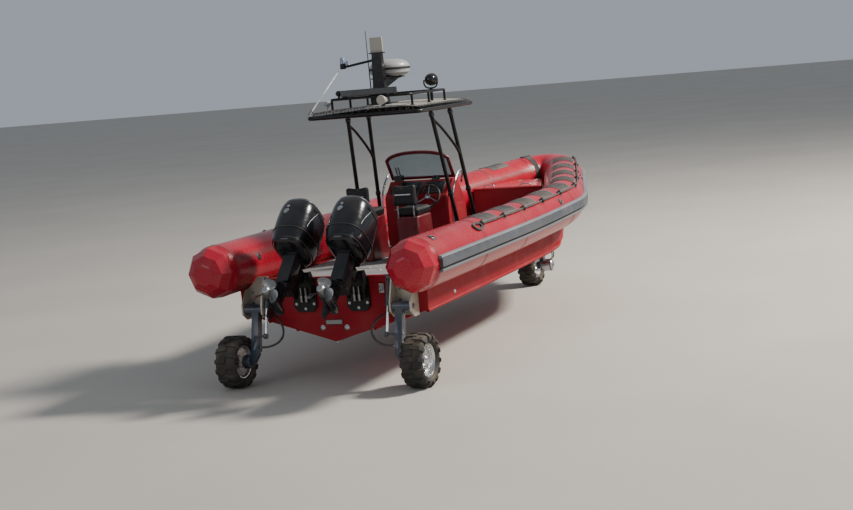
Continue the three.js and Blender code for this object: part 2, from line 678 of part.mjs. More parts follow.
// Front leg: a saddle in the recess of the stem, a leg that reaches aft, and a knuckle beside the tyre.
function frontGear() {
  const y = FRONT_WHEEL_Y;
  const { ceiling } = LEG_RECESS;
  place("front_bracket", joined(
    block([-120, 120], [7420, 7740], [ceiling - 18, ceiling - TOUCH]),
    plate([[7450, ceiling - 5], [7720, ceiling - 5], [7720, 760], [7600, 720], [7520, 760]], -95, -75),
    plate([[7450, ceiling - 5], [7720, ceiling - 5], [7720, 760], [7600, 720], [7520, 760]], 75, 95),
  ), "bracket");
  const boom = plate([[7700, 860], [7700, 765], [y + 60, 700], [y, 700], [y, 790], [y + 60, 800]], -70, 70);
  const head = turned([[0, 690], [58, 690], [58, 815], [0, 815]], 14, "z").translate(0, y, 0);
  place("front_leg", joined(boom, head), "steel");
  const knuckle = joined(
    turned([[0, 650], [52, 650], [52, 684], [30, 684], [30, 689.5], [0, 689.5]], 14, "z").translate(0, y, 0),
    block([-50, 230], [y - 50, y + 50], [652, 682]),
    block([160, 230], [y - 48, y + 48], [240, 670]),
    turned([[0, 0], [60, 0], [60, 60], [92, 60], [96, 72], [96, 235], [70, 252], [0, 252]], 16, "x")
      .translate(110, y, TYRE_RADIUS),
  );
  place("front_knuckle", knuckle, "steel");
  wheel("front", 0, y, -1);
}

// Outboards, each drawn upright about its tilt axis and then tilted up

// Cowl sections: z, front y, back y, half width.
const COWL = [
  [80, -45, -560, 165],
  [130, -15, -600, 215],
  [300, 5, -625, 245],
  [560, 0, -620, 242],
  [690, -30, -590, 215],
  [750, -90, -540, 160],
  [775, -170, -460, 90],
];
const COWL_POINTS = 16;

function cowlSection([z, front, back, half]) {
  const middle = (front + back) / 2;
  const reach = (front - back) / 2;
  return around(COWL_POINTS, 1).map(([c, s]) => new THREE.Vector3(
    half * Math.sign(c) * Math.abs(c) ** 0.75,
    middle + reach * Math.sign(s) * Math.abs(s) ** 0.75,
    z,
  ));
}

const STEER_Y = -110;
const SHAFT_Z = -650;

function clampBracket(name, x) {
  const { y, z } = TILT_AXIS;
  const backing = [
    [-150, 1275], [-150, 920], [-100, 862], [100, 862], [150, 920], [150, 1275],
  ];
  const ear = [[-28, 1272], [-28, 1010], [y - 20, 1090], [y - 42, z], [y - 28, z + 36], [y + 28, z + 36], [-28, 1300]];
  place(`clamp_bracket_${name}`, joined(
    panel(backing, -30, -TOUCH),
    plate(ear, -132, -104),
    plate(ear, 104, 132),
  ).translate(x, 0, 0), "frame");
}

function swivelBracket(name, upright) {
  place(`swivel_bracket_${name}`, joined(
    rod([-98, 0, 0], [98, 0, 0], 34, 12),
    turned([[0, -320], [50, -320], [50, 34], [0, 34]], 14, "z").translate(0, STEER_Y, 0),
    block([-58, 58], [STEER_Y, 20], [-120, 20]),
    block([-40, 40], [STEER_Y, -40], [-300, -100]),
  ), "frame", upright);
}

function midsection(name, upright) {
  const gearcase = turned([[0, -500], [52, -500], [66, -440], [68, -240], [48, -160], [22, -118], [0, -112]], 14, "y")
    .translate(0, 0, SHAFT_Z);
  const strut = loft([
    [-60, 150, 70, -335, -175],
    [-330, 150, 62, -345, -175],
    [-600, 60, 24, -430, -185],
    [SHAFT_Z, 40, 22, -440, -180],
  ].map(([z, , half, back, front]) => [
    [0, front], [half * 0.8, front - 40], [half, (front + back) / 2], [half * 0.4, back + 20], [0, back],
    [-half * 0.4, back + 20], [-half, (front + back) / 2], [-half * 0.8, front - 40],
  ].map(([px, py]) => new THREE.Vector3(px, py, z))));
  place(`midsection_${name}`, joined(
    block([-95, 95], [-360, -65], [45, 79.5]),
    block([-78, 78], [-345, -172], [-330, 60]),
    block([-60, 60], [-300, STEER_Y + 55], [-358, -326]),
    strut,
    block([-95, 95], [-500, -200], [SHAFT_Z + 190, SHAFT_Z + 200]),
    gearcase,
    plate([[-455, SHAFT_Z], [-230, SHAFT_Z], [-330, SHAFT_Z - 235], [-420, SHAFT_Z - 235]], -7, 7),
  ), "black", upright);
}

const PROP = { radius: 182, hub: 60, front: -505, back: -625, blades: 3 };

// One blade: across its root and its tip, turned about the shaft by its pitch.
function blade(angle) {
  const pitched = (radius, half, pitch, thick) => {
    const a = THREE.MathUtils.degToRad(pitch);
    const middle = (PROP.front + PROP.back) / 2;
    return [[-half, -thick], [half, -thick], [half, thick], [-half, thick]].map(([w, t]) => new THREE.Vector3(
      w * Math.cos(a) - t * Math.sin(a), middle + w * Math.sin(a) + t * Math.cos(a), radius));
  };
  const sections = [pitched(40, 45, 52, 9), pitched(110, 82, 36, 6), pitched(155, 70, 28, 4), pitched(PROP.radius, 28, 24, 3)];
  return loft(sections).rotateY(angle);
}

function propeller(name, upright) {
  const hub = turned([[0, PROP.back], [46, PROP.back], [PROP.hub, PROP.front - 20], [54, PROP.front], [0, PROP.front]], 14, "y");
  const blades = Array.from({ length: PROP.blades }, (_, i) => blade((i * 2 * Math.PI) / PROP.blades));
  place(`propeller_${name}`, joined(hub, ...blades).translate(0, 0, SHAFT_Z), "bronze", upright);
}

function outboards() {
  for (const [name, hand] of SIDES) {
    const x = (hand * ENGINE_SPACING) / 2;
    clampBracket(name, x);
    const upright = new THREE.Group();
    upright.position.set(x, TILT_AXIS.y, TILT_AXIS.z);
    upright.rotation.x = -TILT;
    boat.add(upright);
    swivelBracket(name, upright);
    midsection(name, upright);
    place(`cowl_${name}`, loft(COWL.map(cowlSection)), "black", upright);
    propeller(name, upright);
  }
}

hull();
deck();
locker();
tubes();
strakes();
helm();
seats();
roofFrame();
canopy();
roofRail();
mast();
roofGear();
rearGear();
frontGear();
outboards();

boat.position.y = -MIDDLE_Y;

export default boat;
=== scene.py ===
from math import cos, pi, radians, sin

import bmesh
import bpy
from mathutils import Matrix, Vector


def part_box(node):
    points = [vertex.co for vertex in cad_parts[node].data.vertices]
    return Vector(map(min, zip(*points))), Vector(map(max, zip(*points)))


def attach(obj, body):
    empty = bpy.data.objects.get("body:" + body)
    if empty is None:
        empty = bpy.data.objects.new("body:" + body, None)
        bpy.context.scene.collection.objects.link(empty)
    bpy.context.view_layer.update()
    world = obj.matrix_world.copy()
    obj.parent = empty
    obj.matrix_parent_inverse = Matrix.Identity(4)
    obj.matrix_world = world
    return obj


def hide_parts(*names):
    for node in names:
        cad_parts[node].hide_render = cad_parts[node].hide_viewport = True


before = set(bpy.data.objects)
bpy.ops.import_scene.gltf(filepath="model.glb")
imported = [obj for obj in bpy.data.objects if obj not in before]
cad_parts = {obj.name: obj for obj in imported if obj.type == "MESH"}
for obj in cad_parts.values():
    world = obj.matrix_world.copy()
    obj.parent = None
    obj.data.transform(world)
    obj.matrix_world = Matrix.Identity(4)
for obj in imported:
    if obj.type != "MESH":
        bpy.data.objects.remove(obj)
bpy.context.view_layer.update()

# Camera: off the starboard quarter, a little above the collar, leaning as the photograph does. Places
# are (across, run, height), with the run forward from the transom and the height up from the ground.
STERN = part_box("hull")[0][1]
CAMERA_TURN = 23.28
CAMERA_DOWN = 6.92
CAMERA_LEAN = -5.08


def at(x, run, z):
    return Vector((x, STERN + run, z))


camera_data = bpy.data.cameras.new("camera")
camera_data.lens = 67.23
camera_data.sensor_width = 36.0
camera_data.clip_end = 400.0
camera = bpy.data.objects.new("camera", camera_data)
bpy.context.collection.objects.link(camera)
look = (Matrix.Rotation(radians(CAMERA_TURN), 4, "Z") @ Matrix.Rotation(radians(90 - CAMERA_DOWN), 4, "X")
        @ Matrix.Rotation(radians(CAMERA_LEAN), 4, "Z"))
camera.matrix_world = Matrix.Translation(at(8.528, -16.868, 3.725)) @ look
bpy.context.scene.camera = camera

# Hydraulic hoses: black rubber, one for each rear leg. Each loops from a port on the leg's bracket
# down to the motor line on the leg, and both of its ends screw into steel fittings.
HOSE_RADIUS = 0.013
HOSE_ROUTE = [(0.8392, -0.076, 0.850), (0.806, -0.076, 0.850), (0.750, -0.098, 0.840), (0.690, -0.140, 0.812),
              (0.630, -0.180, 0.764), (0.594, -0.208, 0.706), (0.584, -0.224, 0.648), (0.602, -0.236, 0.592),
              (0.646, -0.248, 0.542), (0.708, -0.258, 0.508), (0.776, -0.264, 0.490), (0.846, -0.266, 0.482),
              (0.9042, -0.266, 0.482)]
HOSE_FITTING = [(0, 0.0005), (0.021, 0.0005), (0.021, 0.014), (0.017, 0.016), (0.017, 0.030), (0, 0.030)]
SIDES = (("port", -1), ("starboard", 1))
SAND_DUST = (0.40, 0.31, 0.21, 1)


# Every finish is a colour with a slow drift, a fine grain in gloss and height, and dust that settles
# on what faces up. Numbers that are the same all over sit on the shader's own sockets.
def finish(name, colour, rough, metal=0.0, drift=0.12, drift_size=1.5, grain=90.0, relief=0.05,
           coat=0.0, dust=0.0, sheen=0.0, clear=0.0, gloss=0.5):
    material = bpy.data.materials.new(name)
    material.use_nodes = True
    tree = material.node_tree
    shader = tree.nodes["Principled BSDF"]
    shader.inputs["Metallic"].default_value = metal
    shader.inputs["Specular IOR Level"].default_value = gloss
    shader.inputs["Coat Weight"].default_value = coat
    shader.inputs["Coat Roughness"].default_value = 0.10
    shader.inputs["Sheen Weight"].default_value = sheen
    shader.inputs["Transmission Weight"].default_value = clear
    place = tree.nodes.new("ShaderNodeTexCoord").outputs["Object"]

    def noise(size, detail=4.0):
        node = tree.nodes.new("ShaderNodeTexNoise")
        node.inputs["Scale"].default_value = size
        node.inputs["Detail"].default_value = detail
        tree.links.new(place, node.inputs["Vector"])
        return node.outputs["Fac"]

    def ramp(source, low, high, start=0.35, end=0.68):
        node = tree.nodes.new("ShaderNodeValToRGB")
        for element, position, tone in zip(node.color_ramp.elements, (start, end), (low, high)):
            element.position = position
            element.color = (*tone, 1)
        tree.links.new(source, node.inputs["Fac"])
        return node.outputs["Color"]

    darker = [c * (1 - drift) for c in colour]
    lighter = [min(1.0, c * (1 + drift)) for c in colour]
    skin = ramp(noise(drift_size), darker, lighter)
    if dust:
        normal = tree.nodes.new("ShaderNodeNewGeometry").outputs["Normal"]
        upward = tree.nodes.new("ShaderNodeSeparateXYZ")
        tree.links.new(normal, upward.inputs["Vector"])
        share = tree.nodes.new("ShaderNodeMath")
        share.operation = "MULTIPLY"
        tree.links.new(ramp(upward.outputs["Z"], (0.3,) * 3, (1.0,) * 3, 0.0, 0.9), share.inputs[0])
        tree.links.new(ramp(noise(4.0, 9.0), (0.0,) * 3, (dust,) * 3, 0.42, 0.72), share.inputs[1])
        mixed = tree.nodes.new("ShaderNodeMix")
        mixed.data_type = "RGBA"
        tree.links.new(share.outputs[0], mixed.inputs["Factor"])
        tree.links.new(skin, mixed.inputs["A"])
        mixed.inputs["B"].default_value = SAND_DUST
        skin = mixed.outputs["Result"]
    tree.links.new(skin, shader.inputs["Base Color"])
    worn, dull = max(0.03, rough - 0.06), min(1, rough + 0.08)
    tree.links.new(ramp(noise(max(2.0, grain * 0.2)), (worn,) * 3, (dull,) * 3), shader.inputs["Roughness"])
    bump = tree.nodes.new("ShaderNodeBump")
    bump.inputs["Strength"].default_value = relief
    bump.inputs["Distance"].default_value = 0.004
    tree.links.new(noise(grain), bump.inputs["Height"])
    tree.links.new(bump.outputs["Normal"], shader.inputs["Normal"])
    return material


# A finished mesh becomes a piece: in place, smooth up to its real edges, and riding on its body.
def piece(name, mesh, material, body="boat", crease=38.0, stands_for=(), bevel=0.0):
    if isinstance(mesh, bmesh.types.BMesh):
        bmesh.ops.remove_doubles(mesh, verts=mesh.verts[:], dist=1e-6)
        bmesh.ops.recalc_face_normals(mesh, faces=mesh.faces[:])
        data = bpy.data.meshes.new(name)
        mesh.to_mesh(data)
        mesh.free()
        mesh = data
    mesh.materials.clear()
    mesh.materials.append(material)
    mesh.shade_smooth()
    mesh.set_sharp_from_angle(angle=radians(crease))
    made = bpy.data.objects.new(name, mesh)
    bpy.context.collection.objects.link(made)
    if bevel:
        edge = made.modifiers.new("edge", "BEVEL")
        edge.width = bevel
        edge.segments = 2
        edge.limit_method = "ANGLE"
        edge.angle_limit = radians(32)
    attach(made, body)
    if stands_for:
        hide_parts(*stands_for)
    return made


# Draws an outline of (across, up) points through a row of stations, each a matrix, and caps both ends.
def drawn(outline, stations, bm=None):
    bm = bm or bmesh.new()
    face = bm.faces.new([bm.verts.new(stations[0] @ Vector((a, 0, u))) for a, u in outline])
    for here, there in zip(stations, stations[1:]):
        made = bmesh.ops.extrude_face_region(bm, geom=[face])["geom"]
        face = next(item for item in made if isinstance(item, bmesh.types.BMFace))
        bmesh.ops.transform(bm, matrix=there @ here.inverted(), verts=face.verts[:])
    return bm


def ring(radius, count=12):
    return [(radius * cos(2 * pi * i / count), radius * sin(2 * pi * i / count)) for i in range(count)]


# A station at a place, which looks ahead.
def facing(here, ahead, up=Vector((0, 0, 1))):
    ahead = ahead.normalized()
    out = ahead.cross(up).normalized()
    return Matrix.Translation(here) @ Matrix((out, ahead, out.cross(ahead))).transposed().to_4x4()


# Rounds a few points into a smooth line through them.
def rounded(points, steps):
    points = [Vector(p) for p in points]
    ends = [points[0] * 2 - points[1], *points, points[-1] * 2 - points[-2]]
    line = []
    for a, b, c, d in zip(ends, ends[1:], ends[2:], ends[3:]):
        for t in (i / steps for i in range(steps)):
            line.append(0.5 * (2 * b + (c - a) * t + (2 * a - 5 * b + 4 * c - d) * t * t
                               + (3 * b - a - 3 * c + d) * t ** 3))
    return [*line, points[-1]]


# A pipe or rod through points.
def pipe(points, radius, sides=14, bm=None, smooth=0):
    points = rounded(points, smooth) if smooth else [Vector(p) for p in points]
    runs = [b - a for a, b in zip(points, points[1:])]
    aheads = [runs[0], *[a.normalized() + b.normalized() for a, b in zip(runs, runs[1:])], runs[-1]]
    up = Vector((0, 0, 1)) if abs(runs[0].normalized().z) < 0.9 else Vector((0, 1, 0))
    stations = []
    for here, ahead in zip(points, aheads):
        out = ahead.cross(up).normalized()
        up = out.cross(ahead.normalized())
        stations.append(facing(here, ahead, up))
    return drawn(ring(radius, sides), stations, bm)


# A turned piece: (radius, along) points spun about an axis through a place.
def spun(profile, place, axis, sides=32, bm=None):
    bm = bm or bmesh.new()
    turn = Vector((0, 0, 1)).rotation_difference(Vector(axis).normalized()).to_matrix().to_4x4()
    seat = Matrix.Translation(place) @ turn
    line = [bm.verts.new(seat @ Vector((r, 0, along))) for r, along in profile]
    edges = [bm.edges.new(pair) for pair in zip(line, line[1:])]
    bmesh.ops.spin(bm, geom=line + edges, cent=Vector(place), axis=Vector(axis).normalized(),
                   angle=2 * pi, steps=sides, use_merge=True)
    return bm


hose_rubber = finish("hose_rubber", (0.016, 0.016, 0.018), 0.42, grain=300, relief=0.10, dust=0.30)
fitting_steel = finish("fitting_steel", (0.25, 0.25, 0.26), 0.36, metal=0.9, grain=200, dust=0.2)
for name, hand in SIDES:
    way = rounded([at(hand * x, run, z) for x, run, z in HOSE_ROUTE], 6)
    ends = bmesh.new()
    for tip, along in ((way[0], way[1] - way[0]), (way[-1], way[-2] - way[-1])):
        spun(HOSE_FITTING, tip, along, 12, ends)
    fittings = piece(f"hose_fittings_{name}", ends, fitting_steel)
    hose = piece(f"hose_line_{name}", pipe(way, HOSE_RADIUS, 12), hose_rubber,
                 stands_for=[f"hose_{name}"])

# Studio: a pale floor and a pale sky, lit by a broad key lamp high on the starboard bow and by soft
# fill lamps on the port quarter and to starboard.
SKY = (0.80, 0.89, 1.0, 1)
SKY_POWER = 0.42
FLOOR_HALF = 150
LAMPS = (("key", (18.0, 9.0, 19.0), (0, 0, 1.4), 4.0, 15000, (1.0, 0.95, 0.87)),
         ("fill_quarter", (-6.0, -17.0, 6.0), (0, -3, 1.4), 7.0, 260, (0.92, 0.96, 1.0)),
         ("fill_starboard", (14.0, -10.0, 5.0), (0, -1, 1.2), 6.0, 210, (1.0, 0.98, 0.95)))
world = bpy.data.worlds.new("studio")
world.use_nodes = True
world.node_tree.nodes["Background"].inputs["Color"].default_value = SKY
world.node_tree.nodes["Background"].inputs["Strength"].default_value = SKY_POWER
bpy.context.scene.world = world
for name, place, aim, size, power, tone in LAMPS:
    lamp_data = bpy.data.lights.new(name, "AREA")
    lamp_data.size = size
    lamp_data.energy = power
    lamp_data.color = tone
    lamp = bpy.data.objects.new(name, lamp_data)
    bpy.context.collection.objects.link(lamp)
    lamp.location = place
    lamp.rotation_euler = (Vector(aim) - Vector(place)).to_track_quat("-Z", "Y").to_euler()
floor_mesh = bmesh.new()
bmesh.ops.create_grid(floor_mesh, x_segments=1, y_segments=1, size=FLOOR_HALF)
floor_data = bpy.data.meshes.new("floor")
floor_mesh.to_mesh(floor_data)
floor_mesh.free()
floor_pale = finish("floor_pale", (0.46, 0.43, 0.385), 0.9, drift=0.04, drift_size=0.3, grain=30)
floor_data.materials.append(floor_pale)
floor = bpy.data.objects.new("floor", floor_data)
bpy.context.collection.objects.link(floor)

# Hull: welded aluminium, a deep V with a hard chine, painted rescue red. Spray rails and a keel shoe
# are welded along its bottom, and a plate closes its stem.
BEAM_END = 7
SHOE_END = 5
# Run, half beam at the chine, height of the chine and height of the keel.
HULL_LINES = [(0.02, 1.235, 0.853, 0.490), (2.0, 1.235, 0.858, 0.490), (4.7, 1.215, 0.885, 0.490),
              (5.6, 1.060, 0.915, 0.490), (6.3, 0.860, 0.950, 0.505), (7.0, 0.640, 1.000, 0.590),
              (7.7, 0.385, 1.065, 0.770), (8.03, 0.210, 1.145, 0.925)]
DRAIN = [(0, 0.014), (0.018, 0.014), (0.022, 0.010), (0.034, 0.006), (0.036, 0.0), (0, 0.0)]
EYE_OUT = 0.66
EYE_BEND = ((-0.006, 1.10), (-0.05, 1.10), (-0.066, 1.125), (-0.05, 1.15), (-0.006, 1.15))
BOW_EYE_BEND = ((-0.032, 8.054), (-0.030, 8.098), (0, 8.122), (0.030, 8.098), (0.032, 8.054))
BOW_EYE_UP = 1.05


# A CAD node's own shape, merged and with its edges eased, under a finish of its own.
def eased(node, material, body="boat", bevel=0.004):
    bm = bmesh.new()
    bm.from_mesh(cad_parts[node].data)
    bmesh.ops.remove_doubles(bm, verts=bm.verts[:], dist=2e-5)
    bmesh.ops.dissolve_limit(bm, angle_limit=radians(1), verts=bm.verts[:], edges=bm.edges[:])
    return piece(f"{node}_shaped", bm, material, body, stands_for=[node], bevel=bevel)


# A block between two corners, which are places on the boat unless a matrix says otherwise.
def box(low, high, bm=None, place=Matrix.Translation((0, STERN, 0))):
    bm = bm or bmesh.new()
    low, high = Vector(low), Vector(high)
    shape = Matrix.Translation((low + high) / 2) @ Matrix.Diagonal((*(high - low), 1))
    bmesh.ops.create_cube(bm, size=1, matrix=place @ shape)
    return bm


# A line along the bottom, at a share of the way out from keel to chine.
def on_bottom(share, lift=0.0, last=None):
    lines = HULL_LINES[:last]
    return [(beam * share, run, keel + (chine - keel) * share - lift) for run, beam, chine, keel in lines]


hull_red = finish("hull_red", (0.25, 0.004, 0.013), 0.62, drift=0.10, drift_size=0.7, grain=40, relief=0.02,
                  dust=0.16, gloss=0.2)
bare_metal = finish("bare_metal", (0.42, 0.43, 0.45), 0.33, metal=1.0, grain=160, relief=0.05, dust=0.25)
black_rubber = finish("black_rubber", (0.014, 0.014, 0.016), 0.55, grain=220, relief=0.08, dust=0.25)
eased("hull", hull_red, bevel=0.006)
rails = bmesh.new()
for hand in (1, -1):
    for share, size, last in ((0.42, 0.022, BEAM_END), (0.72, 0.022, BEAM_END), (0.985, 0.026, None)):
        way = [at(hand * x, run, z) for x, run, z in on_bottom(share, 0.004, last)]
        pipe(way, size, 6, rails, smooth=4)
piece("spray_rails", rails, hull_red)
shoe = pipe([at(0, run, z) for _, run, z in on_bottom(0.0, -0.004, SHOE_END)], 0.024, 8)
piece("keel_shoe", shoe, bare_metal)
eased("transom_top", hull_red, bevel=0.008)

drains = bmesh.new()
for x, z in ((-0.16, 0.66), (0.16, 0.66), (0.0, 1.06)):
    spun(DRAIN, at(x, -0.0005, z), (0, -1, 0), 20, drains)
piece("transom_drains", drains, bare_metal)
anode = box((-0.11, -0.022, 0.70), (0.11, -0.0005, 0.76))
piece("transom_anode", anode, fitting_steel, bevel=0.008)
eyes = bmesh.new()
for x in (EYE_OUT, -EYE_OUT):
    pipe([at(x, run, z) for run, z in EYE_BEND], 0.009, 10, eyes, smooth=5)
    box((x - 0.03, -0.008, 1.07), (x + 0.03, -0.0005, 1.18), eyes)
piece("lifting_eyes", eyes, bare_metal)

stem = drawn([(-0.185, 1.450), (0.185, 1.450), (0.040, 1.170), (-0.040, 1.170)],
             [Matrix.Translation(at(0, run, 0)) for run in (8.030, 8.054)])
piece("stem_plate", stem, hull_red, bevel=0.003)
bow_eye = box((-0.05, 8.0505, 1.015), (0.05, 8.058, 1.085))
pipe([at(x, run, BOW_EYE_UP) for x, run in BOW_EYE_BEND], 0.009, 10, bow_eye, smooth=5)
piece("bow_eye", bow_eye, bare_metal)

# Deck: two aluminium panels with a sprayed grey non-slip coat. Two flush hatches with turned catches
# are let into the aft one, and two cargo tracks are screwed down ahead of the console.
HATCH_LOW, HATCH_HIGH = 1.2153, 1.2195
CATCH = [(0, 0.002), (0.016, 0.002), (0.018, 0.004), (0.024, 0.004), (0.026, 0.0), (0, 0.0)]
deck_grey = finish("deck_grey", (0.19, 0.193, 0.197), 0.88, drift=0.10, drift_size=2.2, grain=420, relief=0.5,
                   dust=0.22)
for node in ("sole", "foredeck"):
    eased(node, deck_grey, bevel=0.003)
hatch = box((-0.30, 0.30, HATCH_LOW), (0.30, 0.92, HATCH_HIGH))
box((-0.13, 1.05, HATCH_LOW), (0.13, 1.31, HATCH_HIGH), hatch)
piece("deck_hatches", hatch, deck_grey, bevel=0.002)
tracks = bmesh.new()
for x in (-0.45, 0.45):
    box((x - 0.014, 3.62, HATCH_LOW), (x + 0.014, 5.30, 1.2215), tracks)
for x, run in ((-0.25, 0.36), (0.25, 0.36), (-0.25, 0.86), (0.25, 0.86), (0.0, 1.10)):
    spun(CATCH, at(x, run, 1.2193), (0, 0, 1), 20, tracks)
piece("deck_tracks", tracks, bare_metal)

# Collar: air tubes of coated red fabric, run along both sides to a blunt nose and closed aft by cones
# of eight flat panels. They are glued up from sheets, with a flat tape over each joint.
TUBE = 0.315
TUBE_SIDES = 56
TUBE_OUT = 1.300
TUBE_UP = 1.446
TUBE_AFT = -0.44
SHEER_START = 2.0
SHEER_RISE = 0.254
NOSE = 8.35
TAPER_AT = 7.0
TAPER_OUT = 0.712
TAPER_SLOPE = -0.316
SHOULDER = (4.7, TAPER_AT + (TUBE_OUT - TAPER_OUT) / TAPER_SLOPE, 5.6)
NOSE_START = 7.7
# The tail cone's sections: run and radius.
TAIL = [(-0.737, 0.10), (-0.735, 0.150), (-0.690, 0.228), (-0.575, 0.303), (-0.50, 0.3145)]
TAIL_PANELS = 8
tube_red = finish("tube_red", (0.36, 0.006, 0.022), 0.27, drift=0.10, drift_size=0.8, grain=320, relief=0.03,
                  coat=0.12, dust=0.08, gloss=0.38)
seam_red = finish("seam_red", (0.24, 0.004, 0.014), 0.36, drift=0.15, grain=260, relief=0.06, dust=0.2)


def taper_out(run):
    return TAPER_OUT + (run - TAPER_AT) * TAPER_SLOPE


def sheer(run):
    return TUBE_UP + SHEER_RISE * (max(0.0, run - SHEER_START) / (NOSE - SHEER_START)) ** 2


def bent(a, b, c, steps):
    points = []
    for t in ((i + 1) / steps for i in range(steps)):
        points.append(tuple((1 - t) ** 2 * p + 2 * t * (1 - t) * q + t * t * r for p, q, r in zip(a, b, c)))
    return points


plan = [(TUBE_OUT, TUBE_AFT + 0.257 * i) for i in range(21)]
plan += bent((TUBE_OUT, SHOULDER[0]), (TUBE_OUT, SHOULDER[1]), (taper_out(SHOULDER[2]), SHOULDER[2]), 12)
plan += [(taper_out(run), run) for run in (5.95, 6.3, 6.65, 7.0, 7.35, 7.7)]
plan += bent((taper_out(NOSE_START), NOSE_START), (taper_out(NOSE), NOSE), (0.0, NOSE), 14)
line = [at(x, run, sheer(run)) for x, run in plan]
line += [Vector((-p.x, p.y, p.z)) for p in reversed(line[:-1])]
last = len(line) - 1
collar = [facing(here, line[min(i + 1, last)] - line[max(i - 1, 0)]) for i, here in enumerate(line)]
joint = next(i for i, here in enumerate(line) if here.y >= STERN + TAPER_AT - 1e-6)

# How far each station lies along the collar from the aft end of the starboard tube.
reach = [0.0]
for here, there in zip(line, line[1:]):
    reach.append(reach[-1] + (there - here).length)
WHOLE = reach[-1]


# The collar's station at a distance along it, on the starboard side, or mirrored to port.
def station_at(far, hand=1):
    far = WHOLE - far if hand < 0 else far
    k = min(max(next((n for n, r in enumerate(reach) if r >= far), last), 1), last)
    share = min(1.0, max(0.0, (far - reach[k - 1]) / (reach[k] - reach[k - 1])))
    return collar[k - 1].lerp(collar[k], share)


def stretch(start, end, step, hand=1):
    count = max(1, round((end - start) / step))
    return [station_at(start + (end - start) * i / count, hand) for i in range(count + 1)]


# A point of a station's outline, at an angle in degrees above the outer side and a height off the tube.
def on_tube(angle, off=0.001):
    return ((TUBE + off) * cos(radians(angle)), (TUBE + off) * sin(radians(angle)))


# Part of a ring lying on the tube, between two angles above the outer side.
def lying(first, final, thick, count=10, sink=0.003):
    angles = [first + (final - first) * i / count for i in range(count + 1)]
    return [on_tube(a, thick) for a in angles] + [on_tube(a, -sink) for a in reversed(angles)]


# Lofts a row of like sections: each is extruded from the last and its points moved into place.
def lofted(sections):
    bm = bmesh.new()
    here = [bm.verts.new(p) for p in sections[0]]
    face = bm.faces.new(here)
    for outline in sections[1:]:
        made = bmesh.ops.extrude_face_region(bm, geom=[face])["geom"]
        face = next(item for item in made if isinstance(item, bmesh.types.BMFace))
        found = {tuple(round(c, 6) for c in v.co): v for v in face.verts}
        here = [found[tuple(round(c, 6) for c in v.co)] for v in here]
        for v, p in zip(here, outline):
            v.co = p
    return bm


# An air tube's section: a circle, or at the tail a ring of flat panels.
def section(station, size=TUBE, panels=0):
    points = []
    for i in range(TUBE_SIDES):
        angle = 2 * pi * i / TUBE_SIDES
        far = size
        if panels:
            part = 2 * pi / panels
            far = size * cos(part / 2) / cos(angle % part - part / 2)
        points.append(station @ Vector((far * cos(angle), 0, far * sin(angle))))
    return points


def with_tail(stations):
    first = stations[0]
    cone = []
    for run, size in TAIL:
        slid = Matrix.Translation((0, STERN + run - first.translation.y, 0)) @ first
        cone.append(section(slid, size, TAIL_PANELS))
    return lofted(cone + [section(station) for station in stations])


piece("air_tube_starboard", with_tail(collar[:joint + 1]), tube_red, crease=24,
      stands_for=["tube_starboard"])
piece("air_tube_bow", drawn(ring(TUBE, TUBE_SIDES), collar[joint:last - joint + 1]), tube_red,
      stands_for=["tube_bow"])
piece("air_tube_port", with_tail([collar[last - i] for i in range(joint + 1)]), tube_red,
      crease=24, stands_for=["tube_port"])

tapes = bmesh.new()
for start in (0.0, 1.54, 3.05, 5.10, 6.15, reach[joint] - 0.03, reach[joint] + 1.05):
    for hand in (1, -1):
        drawn(ring(TUBE + 0.002, TUBE_SIDES), stretch(start, start + 0.06, 0.03, hand), tapes)
drawn(lying(-140, -112, 0.002, 4), stretch(0.0, WHOLE, 0.1), tapes)
drawn(lying(148, 160, 0.002, 3), stretch(0.0, WHOLE, 0.1), tapes)
piece("panel_tapes", tapes, seam_red)

# Rub strake: a broad moulded rubber band glued round the collar, with bevelled edges, a black groove
# under it and a thin second band below the groove.
strake_grey = finish("strake_grey", (0.046, 0.055, 0.072), 0.46, drift=0.14, grain=200, relief=0.06,
                     dust=0.22)
strake_pale = finish("strake_pale", (0.16, 0.175, 0.20), 0.46, drift=0.14, grain=200, relief=0.06, dust=0.2)
deep_black = finish("deep_black", (0.006, 0.006, 0.007), 0.6, grain=150)
band = [on_tube(-8), (0.330, -0.044), (0.3535, -0.036), (0.3555, -0.030), (0.3555, 0.050), (0.353, 0.056),
        on_tube(10.5, 0.030), on_tube(10.5), on_tube(4), on_tube(-2)]
bevel_strip = [on_tube(10.5), on_tube(10.6, 0.036), (0.350, 0.074), (0.340, 0.093), on_tube(17.6, 0.008),
               on_tube(17.6)]
groove = [on_tube(-13), (0.330, -0.066), (0.333, -0.060), (0.333, -0.048), (0.330, -0.044), on_tube(-8)]
lower_band = [on_tube(-18), (0.333, -0.0965), (0.3405, -0.092), (0.3525, -0.074), (0.3505, -0.067),
              (0.330, -0.064), on_tube(-12.6)]
for name, outline, tone, nodes in (
        ("strake_band", band, strake_grey, ["strake_starboard", "strake_bow", "strake_port"]),
        ("strake_bevel", bevel_strip, strake_pale, []),
        ("strake_groove", groove, deep_black, []),
        ("strake_lower", lower_band, strake_pale, [])):
    piece(name, drawn(outline, collar), tone, crease=25, stands_for=nodes)

